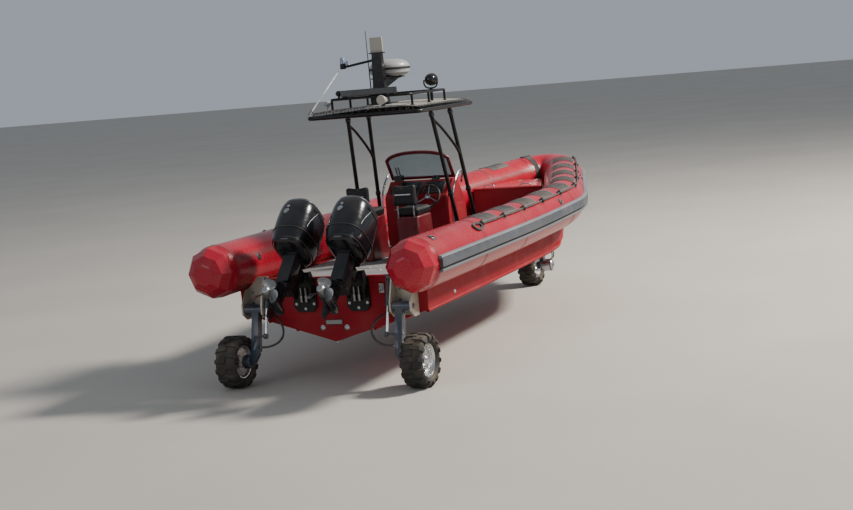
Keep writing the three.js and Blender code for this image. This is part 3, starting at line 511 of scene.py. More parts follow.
# Step patches: ribbed grey rubber glued along the top of the collar, so that crew can board over the
# tube. They lie between the knots of the starboard lifeline, and two lie to port.
KNOTS = [1.68 + 0.775 * i for i in range(13)]
PORT_PATCHES = (6.0, 7.55)
PATCH_RIBS = 12
patch_grey = finish("patch_grey", (0.115, 0.103, 0.10), 0.60, drift=0.20, drift_size=5, grain=500,
                    relief=0.25, dust=0.12)
patches = bmesh.new()
for hand, starts in ((1, [k for k in KNOTS if k < WHOLE / 2 - 0.5]), (-1, PORT_PATCHES)):
    for knot in starts:
        drawn(lying(54, 122, 0.005, 12), stretch(knot + 0.17, knot + 0.62, 0.09, hand), patches)
        for i in range(PATCH_RIBS):
            foot = knot + 0.195 + 0.0345 * i
            drawn(lying(57, 119, 0.0085, 12), stretch(foot, foot + 0.016, 0.016, hand), patches)
piece("step_patches", patches, patch_grey)

# Lifeline: black braided rope, held along the collar by a moulded boss at each knot. The port tube
# also has two webbing handles, glued down at both ends.
LINE_ANGLE = 50
LINE_OFF = 0.020
LINE_SAG = 1.6
BOSS = [(0, 0.060), (0.018, 0.057), (0.032, 0.046), (0.038, 0.030), (0.035, 0.014), (0.048, 0.006),
        (0.050, 0.0), (0, 0.0)]
HANDLE_ANGLE = 40
HANDLE_HALF = 0.17
HANDLE_RISE = (0.002, 0.018, 0.034, 0.042, 0.045, 0.042, 0.034, 0.018, 0.002)
rope_black = finish("rope_black", (0.012, 0.012, 0.014), 0.8, grain=600, relief=0.8, sheen=0.2, dust=0.2)


def over_tube(station, angle, off):
    across, up = on_tube(angle, off)
    return station @ Vector((across, 0, up))


# The way straight off the tube at an angle above the outer side.
def outward_at(station, angle):
    return station.to_3x3() @ Vector((cos(radians(angle)), 0, sin(radians(angle))))


lifeline = bmesh.new()
bosses = bmesh.new()
held = [knot for knot in KNOTS if knot < WHOLE / 2 + 0.1]
for hand in (1, -1):
    points = []
    for knot, after in zip(held, held[1:]):
        for i, station in enumerate(stretch(knot, after, (after - knot) / 8, hand)[:-1]):
            points.append(over_tube(station, LINE_ANGLE - LINE_SAG * sin(pi * i / 8), LINE_OFF))
    points.append(over_tube(station_at(held[-1], hand), LINE_ANGLE, LINE_OFF))
    pipe(points, 0.0115, 10, lifeline, smooth=3)
    for knot in held:
        station = station_at(knot, hand)
        out = outward_at(station, LINE_ANGLE)
        spun(BOSS, station.translation + out * (TUBE - 0.004), out, 16, bosses)
piece("lifeline", lifeline, rope_black)
piece("lifeline_bosses", bosses, black_rubber)

handles = bmesh.new()
handle_feet = bmesh.new()
for far in (0.62, 5.6):
    stations = stretch(far - HANDLE_HALF, far + HANDLE_HALF, 2 * HANDLE_HALF / 8, -1)
    way = [over_tube(station, HANDLE_ANGLE, off) for station, off in zip(stations, HANDLE_RISE)]
    pipe(way, 0.016, 8, handles, smooth=2)
    for end in (-HANDLE_HALF, HANDLE_HALF):
        drawn(lying(30, 50, 0.004, 6), stretch(far + end - 0.045, far + end + 0.045, 0.045, -1), handle_feet)
piece("webbing_handles", handles, rope_black)
piece("handle_patches", handle_feet, black_rubber)

# Collar fittings: air valves inboard, steel D rings lying on glued pads, a buckled webbing strap round
# the port bow, and a rope ring at the aft end of the starboard lifeline.
VALVE = [(0, 0.009), (0.014, 0.009), (0.016, 0.014), (0.026, 0.014), (0.030, 0.010), (0.048, 0.005),
         (0.050, 0.0), (0, 0.0)]
VALVE_ANGLE = 162
STRAP_AT = WHOLE / 2 - 0.42


# A closed loop lying on the tube, about a distance along it and an angle.
def loop_on_tube(far, angle, half_length, half_angle, off, count, hand):
    points = []
    for turn in (2 * pi * i / count for i in range(count + 1)):
        station = station_at(far + half_length * cos(turn), hand)
        points.append(over_tube(station, angle + half_angle * sin(turn), off))
    return points


valves = bmesh.new()
for hand in (1, -1):
    for far in (0.55, 3.6, 5.7):
        station = station_at(far, hand)
        out = outward_at(station, VALVE_ANGLE)
        spun(VALVE, station.translation + out * (TUBE - 0.003), out, 24, valves)
piece("valves", valves, deep_black)
rings = bmesh.new()
pads = bmesh.new()
for hand in (1, -1):
    for far, middle in ((0.22, 62), (4.6, 28), (7.2, 28)):
        drawn(lying(middle - 9, middle + 9, 0.004, 5), stretch(far - 0.05, far + 0.05, 0.05, hand), pads)
        pipe(loop_on_tube(far, middle, 0.034, 5.5, 0.010, 20, hand), 0.0055, 8, rings)
piece("d_rings", rings, fitting_steel)
piece("ring_pads", pads, black_rubber)
strap = drawn(lying(75, 196, 0.006, 20), stretch(STRAP_AT, STRAP_AT + 0.13, 0.065, -1))
piece("bow_strap", strap, rope_black)
buckle = drawn(lying(84, 96, 0.016, 4), stretch(STRAP_AT - 0.02, STRAP_AT + 0.15, 0.06, -1))
piece("strap_buckle", buckle, deep_black, bevel=0.003)
grab_ring = pipe(loop_on_tube(1.50, 47, 0.115, 9, 0.014, 24, 1), 0.017, 10)
piece("aft_grab_ring", grab_ring, rope_black)

# Bow locker: a red moulded bin with a flat hatch, which is hinged along its forward edge and has a
# raised bead round its rim and two steel grab handles.
HATCH_RIM = ((-0.535, 6.335), (0.535, 6.335), (0.175, 7.435), (-0.175, 7.435), (-0.535, 6.335))
# Across from the handle's middle, run and height.
HATCH_HANDLE = ((-0.08, 6.36, 1.683), (-0.075, 6.34, 1.712), (0, 6.335, 1.722), (0.075, 6.34, 1.712),
                (0.08, 6.36, 1.683))
# The lid and its bead take a lighter red than the bin: a painted highlight for the sunlit top of the lid.
lid_highlight_red = finish("lid_highlight_red", (0.46, 0.010, 0.024), 0.22, drift=0.08, grain=60, relief=0.02, coat=0.5,
                   dust=0.10)
eased("bow_locker", hull_red, bevel=0.010)
eased("locker_lid", lid_highlight_red, "locker_lid", bevel=0.010)
bead = pipe([at(x, run, 1.6795) for x, run in HATCH_RIM], 0.007, 8)
piece("hatch_bead", bead, lid_highlight_red, "locker_lid")
hatch_metal = bmesh.new()
for middle in (-0.3, 0.3):
    pipe([at(middle + x, run, z) for x, run, z in HATCH_HANDLE], 0.009, 10, hatch_metal, smooth=4)
for x in (-0.13, 0.13):
    box((x - 0.03, 7.36, 1.679), (x + 0.03, 7.45, 1.687), hatch_metal)
piece("hatch_handles", hatch_metal, bare_metal, "locker_lid")

# Helm console: a red moulding with a sloped dash, which carries two screens, a bank of switches, two
# gauges and a compass. Steel grab rails stand on its sides, and its doors have turned latches.
DASH_SLOPE = 42.3
GAUGE = [(0, 0.006), (0.034, 0.006), (0.038, 0.012), (0.044, 0.012), (0.046, 0.0), (0, 0.0)]
GRAB_RAIL = ((0.475, 2.80, 1.55), (0.52, 2.80, 1.60), (0.52, 2.82, 1.95), (0.52, 3.05, 2.20),
             (0.52, 3.22, 2.20), (0.475, 3.26, 2.06))
LATCH = [(0, 0.005), (0.014, 0.005), (0.017, 0.008), (0.026, 0.007), (0.028, 0.0), (0, 0.0)]
COMPASS = [(0, 0.058), (0.024, 0.053), (0.042, 0.034), (0.046, 0.012), (0.058, 0.009), (0.060, -0.004),
           (0, -0.004)]
dark_red = finish("dark_red", (0.11, 0.003, 0.009), 0.34, drift=0.12, grain=50, relief=0.03, coat=0.35,
                  dust=0.2)
black_gloss = finish("black_gloss", (0.006, 0.0065, 0.009), 0.20, drift=0.2, grain=60, relief=0.01, coat=0.25,
                     dust=0.04, gloss=0.35)
glass_dark = finish("glass_dark", (0.012, 0.016, 0.022), 0.06, grain=20, relief=0.0, coat=1.0)
eased("console", hull_red, bevel=0.022)
dash_turn = Matrix.Translation(at(0, 2.87, 2.03)) @ Matrix.Rotation(radians(DASH_SLOPE), 4, "X")
dash = bmesh.new()
screens = bmesh.new()
for x, wide, tall in ((-0.10, 0.15, 0.10), (0.245, 0.13, 0.085)):
    box((x - wide - 0.015, -tall - 0.015, 0.0005), (x + wide + 0.015, tall + 0.015, 0.016), dash, dash_turn)
    box((x - wide, -tall, 0.014), (x + wide, tall, 0.019), screens, dash_turn)
for i in range(6):
    across, up = 0.028 * (i % 2), 0.05 * (i // 2)
    box((-0.40 + across, -0.08 + up, 0.0005), (-0.38 + across, -0.05 + up, 0.012), dash, dash_turn)
piece("dash_bezels", dash, black_rubber, bevel=0.003)
piece("dash_screens", screens, glass_dark, bevel=0.002)
gauges = bmesh.new()
for x in (-0.30, -0.18):
    spun(GAUGE, at(x, 2.7595, 1.86), (0, -1, 0), 28, gauges)
piece("dash_gauges", gauges, glass_dark)
grab = bmesh.new()
for hand in (1, -1):
    pipe([at(hand * x, run, z) for x, run, z in GRAB_RAIL], 0.014, 12, grab, smooth=5)
piece("console_rails", grab, bare_metal)
doors = box((-0.34, 3.434, 1.40), (0.34, 3.4435, 1.70))
latches = bmesh.new()
for hand in (1, -1):
    box((hand * 0.4605 - 0.004, 2.88, 1.38), (hand * 0.4605 + 0.004, 3.30, 1.78), doors)
    spun(LATCH, at(hand * 0.4645, 2.93, 1.58), (hand, 0, 0), 22, latches)
piece("console_doors", doors, hull_red, bevel=0.003)
spun(COMPASS, at(0.210, 3.010, 2.1295), (0, 0, 1), 28, latches)
piece("console_latches", latches, black_gloss)
eased("throttle_box", black_gloss, bevel=0.004)

# Windscreen: one tinted clear sheet in a dark red moulded frame with rounded corners, which leans aft
# over the dash.
screen_tint = finish("screen_tint", (0.50, 0.58, 0.62), 0.05, grain=10, relief=0.0, clear=0.85, drift=0.03)
eased("windscreen_frame", dark_red, bevel=0.005)
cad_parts["windscreen_glass"].data.materials.clear()
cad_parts["windscreen_glass"].data.materials.append(screen_tint)

# Helm wheel: a black soft-grip rim on three steel spokes, with a hub cap over the shaft's nut.
WHEEL_AT = at(0.210, 2.690, 1.930)
WHEEL_RIM, WHEEL_GRIP = 0.165, 0.014
HUB_CAP = [(0, 0.024), (0.020, 0.024), (0.036, 0.014), (0.038, -0.012), (0, -0.012)]
wheel_turn = Matrix.Translation(WHEEL_AT) @ Matrix.Rotation(radians(60), 4, "X")
wheel_axis = wheel_turn.to_3x3() @ Vector((0, 0, 1))
grip = bmesh.new()
grip_place = wheel_turn @ Matrix.Translation((WHEEL_RIM, 0, 0)) @ Matrix.Rotation(radians(90), 4, "X")
bmesh.ops.create_circle(grip, cap_ends=False, radius=WHEEL_GRIP, segments=16, matrix=grip_place)
bmesh.ops.spin(grip, geom=grip.verts[:] + grip.edges[:], cent=WHEEL_AT, axis=wheel_axis, angle=2 * pi,
               steps=56, use_merge=True)
piece("helm_grip", grip, black_rubber, "helm_wheel", stands_for=["steering_wheel"])
spokes = bmesh.new()
for angle in (90, 210, 330):
    across, up = cos(radians(angle)), sin(radians(angle))
    root = wheel_turn @ Vector((0.02 * across, 0.02 * up, 0.004))
    tip = wheel_turn @ Vector((0.156 * across, 0.156 * up, 0))
    pipe([root, tip], 0.009, 10, spokes)
spun(HUB_CAP, WHEEL_AT, wheel_axis, 28, spokes)
piece("helm_spokes", spokes, bare_metal, "helm_wheel")

# Jockey seats: a moulded pod under a seat pad and a back rest, both foam in black vinyl with a welted
# seam.
SEAT_OUT = 0.33
SKIN = Vector((0.008, 0.008, 0.008))
SWELL = 0.014
PADS = (("seat_pad", (0.155, 1.652, 1.7835), (0.505, 2.135, 1.885)),
        ("seat_back", (0.160, 1.605, 1.905), (0.500, 1.705, 2.195)))
# Across from the seat's middle, run and height. The welt is level.
FOOT_BAR = ((-0.12, 2.178, 1.33), (-0.12, 2.265, 1.33), (0.12, 2.265, 1.33), (0.12, 2.178, 1.33))
BACK_BAR = ((-0.10, 1.607, 2.06), (-0.10, 1.575, 2.07), (0.10, 1.575, 2.07), (0.10, 1.607, 2.06))
WELT = ((-0.168, 1.66), (-0.168, 2.12), (0, 2.138), (0.168, 2.12), (0.168, 1.66), (0, 1.65), (-0.168, 1.66))
seat_vinyl = finish("seat_vinyl", (0.010, 0.010, 0.011), 0.46, drift=0.2, grain=380, relief=0.35, dust=0.04,
                    gloss=0.35)


# Remeshes a pad evenly, blows it up a little as cloth, and lets no point move further than the swell.
def swollen(pad, floor_up):
    bpy.context.view_layer.objects.active = pad
    pad.select_set(True)
    mould = pad.modifiers.new("mould", "REMESH")
    mould.mode = "VOXEL"
    mould.voxel_size = 0.011
    bpy.ops.object.modifier_apply(modifier="mould")
    rest = [v.co.copy() for v in pad.data.vertices]
    foam = pad.modifiers.new("foam", "CLOTH")
    foam.settings.use_pressure = True
    foam.settings.uniform_pressure_force = 4.0
    foam.settings.effector_weights.gravity = 0.0
    foam.settings.tension_stiffness = 25
    for step in range(1, 15):
        bpy.context.scene.frame_set(step)
    bpy.ops.object.modifier_apply(modifier="foam")
    bpy.context.scene.frame_set(1)
    for vertex, home in zip(pad.data.vertices, rest):
        move = vertex.co - home
        vertex.co = home + move * min(1.0, SWELL / max(1e-9, move.length))
        vertex.co.z = max(vertex.co.z, floor_up)
    pad.select_set(False)
    pad.data.shade_smooth()


for side, _ in SIDES:
    eased(f"seat_base_{side}", dark_red, bevel=0.02)
for name, low, high in PADS:
    low, high = at(*low), at(*high)
    pad = box(low + SKIN, high - SKIN, place=Matrix.Identity(4))
    bmesh.ops.bevel(pad, geom=pad.edges[:], offset=0.03, affect="EDGES", segments=3, profile=0.5, material=-1)
    bmesh.ops.subdivide_edges(pad, edges=pad.edges[:], cuts=2, use_grid_fill=True)
    starboard = piece(f"{name}_starboard", pad, seat_vinyl, crease=80)
    swollen(starboard, low.z)
    mirrored = starboard.data.copy()
    mirrored.transform(Matrix.Translation((-2 * SEAT_OUT, 0, 0)))
    port = piece(f"{name}_port", mirrored, seat_vinyl, crease=80)
    for side, made in (("port", port), ("starboard", starboard)):
        smooth = made.modifiers.new("smooth", "SUBSURF")
        smooth.levels = smooth.render_levels = 1
        if name == "seat_pad":
            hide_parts(f"seat_cushion_{side}")
welts = bmesh.new()
posts = bmesh.new()
pod_doors = bmesh.new()
for mid in (SEAT_OUT, -SEAT_OUT):
    box((mid - 0.105, 2.1795, 1.40), (mid + 0.105, 2.1865, 1.68), pod_doors)
    pipe([at(mid + x, run, z) for x, run, z in FOOT_BAR], 0.013, 10, posts)
    pipe([at(mid + x, run, z) for x, run, z in BACK_BAR], 0.010, 10, posts)
    pipe([at(mid + x, run, 1.868) for x, run in WELT], 0.004, 8, welts, smooth=6)
    for x in (mid - 0.11, mid + 0.11):
        pipe([at(x, 1.68, 1.76), at(x, 1.65, 1.80), at(x, 1.645, 1.95)], 0.011, 10, posts, smooth=4)
piece("seat_welts", welts, black_rubber)
piece("seat_back_posts", posts, bare_metal)
piece("seat_doors", pod_doors, dark_red, bevel=0.003)

# Roof frame: black coated pipe, a rounded hoop on four raked legs, which clamps join to the hoop and
# flanges screw to the deck, with a curved brace to each side.
ROOF_AFT, ROOF_FORE, ROOF_HALF, ROOF_UP = 1.295, 3.185, 0.800, 3.150
ROOF_CROWN = 0.050
PIPE = 0.026
HOOP_UP = ROOF_UP - PIPE - 0.002
HOOP_X, HOOP_AFT, HOOP_FORE = ROOF_HALF - PIPE, ROOF_AFT + PIPE, ROOF_FORE - PIPE
# Where each pair of legs meets the hoop, and where it stands.
LEGS = ((2.110, 2.560), (2.760, 3.190))
LEG_TOP_OUT, LEG_FOOT_OUT, LEG_FOOT_UP = 0.590, 0.720, 1.222
FLANGE = [(0, 0.018), (0.028, 0.018), (0.034, 0.012), (0.058, 0.010), (0.060, 0.0), (0, 0.0)]
CLAMP = [(0, -0.024), (PIPE + 0.008, -0.024), (PIPE + 0.010, -0.020), (PIPE + 0.010, 0.020),
         (PIPE + 0.008, 0.024), (0, 0.024)]
BRACE = ((0.600, 2.140, HOOP_UP - 0.140), (0.612, 2.440, HOOP_UP - 0.300), (0.632, 2.870, 2.500),
         (0.656, 2.972, 2.200))
frame_black = finish("frame_black", (0.007, 0.007, 0.008), 0.34, drift=0.2, grain=160, relief=0.05, dust=0.05,
                     gloss=0.25)


# A level hoop with rounded corners, from the middle of its aft side and back to it.
def hoop(half, aft, fore, turn, up):
    way = [at(0, aft, up)]
    for x, run, start in ((half - turn, aft + turn, -90), (half - turn, fore - turn, 0),
                          (-half + turn, fore - turn, 90), (-half + turn, aft + turn, 180)):
        for angle in (radians(start + 15 * i) for i in range(7)):
            way.append(at(x + turn * cos(angle), run + turn * sin(angle), up))
    return [*way, way[0]]


pipes = pipe(hoop(HOOP_X, HOOP_AFT, HOOP_FORE, 0.075, HOOP_UP), PIPE, 16)
for run, _ in LEGS:
    pipe([at(-HOOP_X, run, HOOP_UP), at(HOOP_X, run, HOOP_UP)], PIPE * 0.8, 14, pipes)
clamps = bmesh.new()
for hand in (1, -1):
    for top_run, foot_run in LEGS:
        foot, top = at(hand * LEG_FOOT_OUT, foot_run, LEG_FOOT_UP), at(hand * LEG_TOP_OUT, top_run, HOOP_UP)
        pipe([foot, top], PIPE, 16, pipes)
        spun(FLANGE, at(hand * LEG_FOOT_OUT, foot_run, 1.2155), (0, 0, 1), 24, pipes)
        for share in (0.40, 0.955):
            spun(CLAMP, foot.lerp(top, share), top - foot, 16, clamps)
    pipe([at(hand * x, run, z) for x, run, z in BRACE], PIPE * 0.7, 12, pipes, smooth=8)
piece("roof_pipes", pipes, frame_black, stands_for=["roof_frame"])
piece("leg_clamps", clamps, black_gloss)

# Canopy: grey-tan coated cloth with a black hem on all four sides, drawn over a crown by a cord that
# is laced between its eyelets and the hoop.
CLOTH_X, CLOTH_AFT, CLOTH_FORE = 0.735, 1.360, 3.120
HEM_AFT, HEM_FORE, HEM_SIDE = 0.10, 0.07, 0.06
LACE = 0.0035
LACE_IN = 0.012
LACE_END = 0.03
canopy_cloth = finish("canopy_cloth", (0.17, 0.152, 0.125), 0.85, drift=0.14, drift_size=3.0, grain=700,
                      relief=0.5, sheen=0.3, dust=0.25)
hem_black = finish("hem_black", (0.014, 0.014, 0.015), 0.75, grain=500, relief=0.4, sheen=0.1, dust=0.05)


def roof_height(x, run):
    across = 1 - (x / ROOF_HALF) ** 2
    bays = 0.010 * (sin(pi * (run - CLOTH_AFT) / (CLOTH_FORE - CLOTH_AFT) * 3)) ** 2
    return ROOF_UP + 0.020 + ROOF_CROWN * across - bays * across


# Cloth between two sides and two ends, which follows the crown at a lift above it.
def cloth(low, high, aft, fore, lift, columns, rows):
    bm = bmesh.new()
    bmesh.ops.create_grid(bm, x_segments=columns, y_segments=rows, size=0.5)
    for v in bm.verts:
        x = low + (high - low) * (v.co.x + 0.5)
        run = aft + (fore - aft) * (v.co.y + 0.5)
        v.co = at(x, run, roof_height(x, run) + lift)
    return bm


def thickened(made, name, thickness):
    wall = made.modifiers.new(name, "SOLIDIFY")
    wall.thickness = thickness
    wall.offset = 1.0


def eyelet(x, run):
    return at(x, run, roof_height(x, run) + 0.008)


def on_hoop(x, run):
    return at(x, run, HOOP_UP + PIPE + 0.005)


sheet = cloth(-CLOTH_X, CLOTH_X, CLOTH_AFT, CLOTH_FORE, 0.0, 48, 56)
canopy = piece("canopy_cloth", sheet, canopy_cloth, crease=80, stands_for=["canopy"])
thickened(canopy, "thick", 0.003)
for name, low, high, aft, fore, columns, rows in (
        ("hem_aft", -CLOTH_X, CLOTH_X, CLOTH_AFT, CLOTH_AFT + HEM_AFT, 48, 3),
        ("hem_fore", -CLOTH_X, CLOTH_X, CLOTH_FORE - HEM_FORE, CLOTH_FORE, 48, 3),
        ("hem_port", -CLOTH_X, -CLOTH_X + HEM_SIDE, CLOTH_AFT + HEM_AFT, CLOTH_FORE - HEM_FORE, 3, 56),
        ("hem_starboard", CLOTH_X - HEM_SIDE, CLOTH_X, CLOTH_AFT + HEM_AFT, CLOTH_FORE - HEM_FORE, 3, 56)):
    hem = piece(name, cloth(low, high, aft, fore, 0.0035, columns, rows), hem_black,
                crease=80)
    thickened(hem, "wall", 0.002)
lacing = bmesh.new()
for run, rail in ((CLOTH_AFT + LACE_IN, HOOP_AFT), (CLOTH_FORE - LACE_IN, HOOP_FORE)):
    steps = [-CLOTH_X + LACE_END + 2 * (CLOTH_X - LACE_END) * i / 30 for i in range(31)]
    pipe([eyelet(x, run) if i % 2 else on_hoop(x, rail) for i, x in enumerate(steps)], LACE, 6, lacing)
for x, rail in ((CLOTH_X - LACE_IN, HOOP_X), (-CLOTH_X + LACE_IN, -HOOP_X)):
    steps = [CLOTH_AFT + LACE_END + (CLOTH_FORE - CLOTH_AFT - 2 * LACE_END) * i / 36 for i in range(37)]
    pipe([eyelet(x, run) if i % 2 else on_hoop(rail, run) for i, run in enumerate(steps)], LACE, 6, lacing)
piece("lacing", lacing, rope_black)

# Roof rail: one black pipe bent into a rounded hoop, on six posts that stand on small flanges.
RAIL_X, RAIL_AFT, RAIL_FORE, RAIL_UP = 0.560, 1.560, 2.790, 3.335
RAIL_PIPE = 0.0155
POST_FLANGE = [(0, 0.010), (0.020, 0.010), (0.032, 0.006), (0.034, 0.0), (0, 0.0)]
rail_pipes = pipe(hoop(RAIL_X, RAIL_AFT, RAIL_FORE, 0.09, RAIL_UP), RAIL_PIPE, 14)
for x in (-RAIL_X, RAIL_X):
    for run in (RAIL_AFT + 0.07, (RAIL_AFT + RAIL_FORE) / 2, RAIL_FORE - 0.07):
        pipe([at(x, run, roof_height(x, run) + 0.004), at(x, run, RAIL_UP)], RAIL_PIPE, 12, rail_pipes)
        spun(POST_FLANGE, at(x, run, roof_height(x, run) + 0.003), (0, 0, 1), 16, rail_pipes)
piece("rail_pipes", rail_pipes, frame_black, stands_for=["roof_rail"])

# Mast: a black box column with a flat sand-coloured aerial on top, a shelf for the radome, and an arm
# to port with two signal lamps at its end.
END_LAMP = [(0, 0.085), (0.018, 0.083), (0.030, 0.070), (0.034, 0.050), (0.034, 0.0), (0, 0.0)]
NEAR_LAMP = [(0, 0.06), (0.020, 0.056), (0.026, 0.03), (0.026, 0.0), (0, 0.0)]
aerial_sand = finish("aerial_sand", (0.36, 0.33, 0.29), 0.5, grain=80, dust=0.15)
signal_glass = finish("signal_glass", (0.22, 0.26, 0.36), 0.10, grain=20, coat=1.0)
eased("mast", frame_black, bevel=0.006)
flat_aerial = box((-0.088, 1.915, 3.885), (0.088, 1.943, 4.083))
piece("flat_aerial", flat_aerial, aerial_sand, bevel=0.008)
lamps = spun(END_LAMP, at(-0.520, 1.970, 3.7825), (0, 0, 1), 24)
spun(NEAR_LAMP, at(-0.450, 1.965, 3.760), (0, 0, 1), 20, lamps)
piece("arm_lamps", lamps, signal_glass)

# Radome: two moulded grey shells screwed together over a black band, on a black foot that sits on the
# mast's shelf.
DOME_AT = at(0, 2.280, 3.5625)
DOME_LOWER = [(0, 0.0), (0.150, 0.0), (0.215, 0.018), (0.258, 0.050), (0.262, 0.092), (0.256, 0.096),
              (0, 0.096)]
DOME_BAND = [(0, 0.094), (0.268, 0.094), (0.2715, 0.098), (0.2715, 0.116), (0.266, 0.120), (0, 0.120)]
DOME_TOP = [(0, 0.118), (0.262, 0.118), (0.264, 0.130), (0.255, 0.155), (0.230, 0.185), (0.180, 0.212),
            (0.110, 0.226), (0, 0.230)]
DOME_FOOT = [(0, -0.0005), (0.16, -0.0005), (0.17, -0.012), (0.10, -0.030), (0, -0.030)]
dome_grey = finish("dome_grey", (0.33, 0.33, 0.335), 0.38, drift=0.06, grain=40, relief=0.02, coat=0.2,
                   dust=0.2)
piece("radome_lower", spun(DOME_LOWER, DOME_AT, (0, 0, 1), 64), dome_grey,
      stands_for=["radome"])
piece("radome_band", spun(DOME_BAND, DOME_AT, (0, 0, 1), 64), deep_black)
piece("radome_top", spun(DOME_TOP, DOME_AT, (0, 0, 1), 64), dome_grey)
piece("radome_foot", spun(DOME_FOOT, DOME_AT, (0, 0, 1), 40), deep_black)

# Light bar: a gloss black housing across the aft edge of the roof, with twelve lamp cells behind dark
# lenses on its forward face.
eased("light_bar", black_gloss, bevel=0.014)
cells = bmesh.new()
for x in (-0.335 + 0.0609 * i for i in range(12)):
    box((x - 0.026, 1.596, 3.378), (x + 0.026, 1.6025, 3.428), cells)
piece("light_cells", cells, glass_dark, bevel=0.004)

# Searchlight: a black can that faces forward behind a clear glass, held in a pipe yoke on a post at
# the starboard side of the roof.
SPOT = at(0.470, 2.500, 3.480)
SPOT_CAN = [(0, -0.072), (0.030, -0.070), (0.055, -0.056), (0.074, -0.020), (0.082, 0.030), (0.084, 0.060),
            (0.080, 0.070), (0.072, 0.066), (0, 0.062)]
SPOT_GLASS = [(0, 0.072), (0.040, 0.070), (0.073, 0.0665), (0, 0.0655)]
SPOT_YOKE = ((-0.092, 0.0), (-0.092, -0.06), (-0.05, -0.105), (0.05, -0.105), (0.092, -0.06), (0.092, 0.0))
lens = finish("lens", (0.55, 0.60, 0.64), 0.08, grain=30, coat=1.0)
piece("searchlight_body", spun(SPOT_CAN, SPOT, (0, 1, 0), 40), black_gloss,
      stands_for=["searchlight"])
piece("searchlight_glass", spun(SPOT_GLASS, SPOT, (0, 1, 0), 32), lens)
yoke = pipe([SPOT + Vector((x, 0, z)) for x, z in SPOT_YOKE], 0.010, 10, smooth=4)
pipe([SPOT + Vector((0, 0, -0.10)), at(0.470, 2.500, roof_height(0.47, 2.5) + 0.004)], 0.020, 14, yoke)
piece("searchlight_yoke", yoke, frame_black)

# Small roof gear: a mushroom aerial on a stem, a sand-coloured hailer on its foot, and a ball lamp on
# the rail. Each is a turned moulding that screws down from below.
MUSHROOM = [(0, 0.0), (0.026, 0.0), (0.026, 0.010), (0.014, 0.016), (0.014, 0.070), (0.046, 0.074),
            (0.052, 0.086), (0.050, 0.102), (0.036, 0.124), (0.016, 0.136), (0, 0.138)]
HAILER_FLOOR = roof_height(0.25, 1.43)
HAILER = [(0, -0.066), (0.030, -0.070), (0.058, -0.070), (0.062, -0.060), (0.052, -0.050), (0.046, 0.0),
          (0.034, 0.090), (0.020, 0.108), (0, 0.110)]
BALL_LAMP = [(0, 0.0), (0.016, 0.0), (0.016, 0.030), (0.034, 0.040), (0.042, 0.062), (0.034, 0.086),
             (0.016, 0.098), (0, 0.100)]
mushroom = spun(MUSHROOM, at(-0.660, 1.700, roof_height(0.66, 1.7) + 0.006), (0, 0, 1), 32)
piece("dome_aerial_shaped", mushroom, dome_grey, stands_for=["dome_aerial"])
hailer_sand = finish("hailer_sand", (0.36, 0.33, 0.28), 0.45, grain=60, dust=0.2)
piece("hailer", spun(HAILER, at(0.250, 1.430, HAILER_FLOOR + 0.076), (0, 1, 0), 40), hailer_sand,
      stands_for=["horn"])
hailer_foot = box((0.228, 1.405, HAILER_FLOOR + 0.006), (0.272, 1.455, HAILER_FLOOR + 0.045))
piece("hailer_foot", hailer_foot, frame_black, bevel=0.004)
ball = spun(BALL_LAMP, at(-0.420, 1.560, RAIL_UP + 0.012), (0, 0, 1), 28)
piece("ball_lamp", ball, black_gloss)

# Aerials: a black whip on the mast, and a white tube of nine sections that leans aft to port from the
# arm down to a steel clamp on the hoop.
AERIAL_FOOT, AERIAL_TIP = at(-0.745, 1.352, 3.185), at(-0.560, 1.905, 3.690)
AERIAL_SECTIONS = 9
CLAMP_SLEEVE = [(0, -0.03), (0.022, -0.03), (0.024, 0.0), (0.022, 0.05), (0, 0.05)]
aerial_white = finish("aerial_white", (0.78, 0.78, 0.76), 0.35, drift=0.05, grain=60)
eased("whip_aerial", frame_black, bevel=0.0)
aerial_way = AERIAL_TIP - AERIAL_FOOT
span = aerial_way.length
aerial_profile = [(0, 0.0)]
for i in range(AERIAL_SECTIONS):
    start, end = span * i / AERIAL_SECTIONS, span * (i + 1) / AERIAL_SECTIONS
    aerial_profile += [(0.0105, start + 0.002), (0.0105, end - 0.014), (0.0075, end - 0.012),
                       (0.0075, end + 0.001)]
aerial_profile.append((0, span))
piece("aerial_sections", spun(aerial_profile, AERIAL_FOOT, aerial_way, 16), aerial_white,
      stands_for=["leaning_aerial"])
aerial_clamp = box((-0.79, 1.315, 3.150), (-0.70, 1.40, 3.176))
spun(CLAMP_SLEEVE, AERIAL_FOOT, aerial_way, 16, aerial_clamp)
piece("aerial_clamp", aerial_clamp, fitting_steel, bevel=0.003)

# Rear wheel legs: sand-grey bracket plates bolted to the transom, a dark blue-grey cranked leg on a
# pin, and a chromed ram beside it.
AXLE_UP = 0.31825
REAR_AXLE = -0.319
RAM_BARREL = [(0, 0.03), (0.024, 0.03), (0.030, 0.038), (0.030, 0.31), (0.034, 0.312), (0.034, 0.330),
              (0.030, 0.332), (0.020, 0.336), (0, 0.336)]
RAM_EYE = [(0.0175, -0.020), (0.032, -0.020), (0.034, -0.017), (0.034, 0.017), (0.032, 0.020),
           (0.0175, 0.020), (0.0175, -0.020)]
PLATE_BOLTS = ((0.90, 0.84), (1.06, 0.84), (0.90, 0.98), (1.06, 0.98), (0.90, 1.12), (1.06, 1.12),
               (0.90, 1.26))
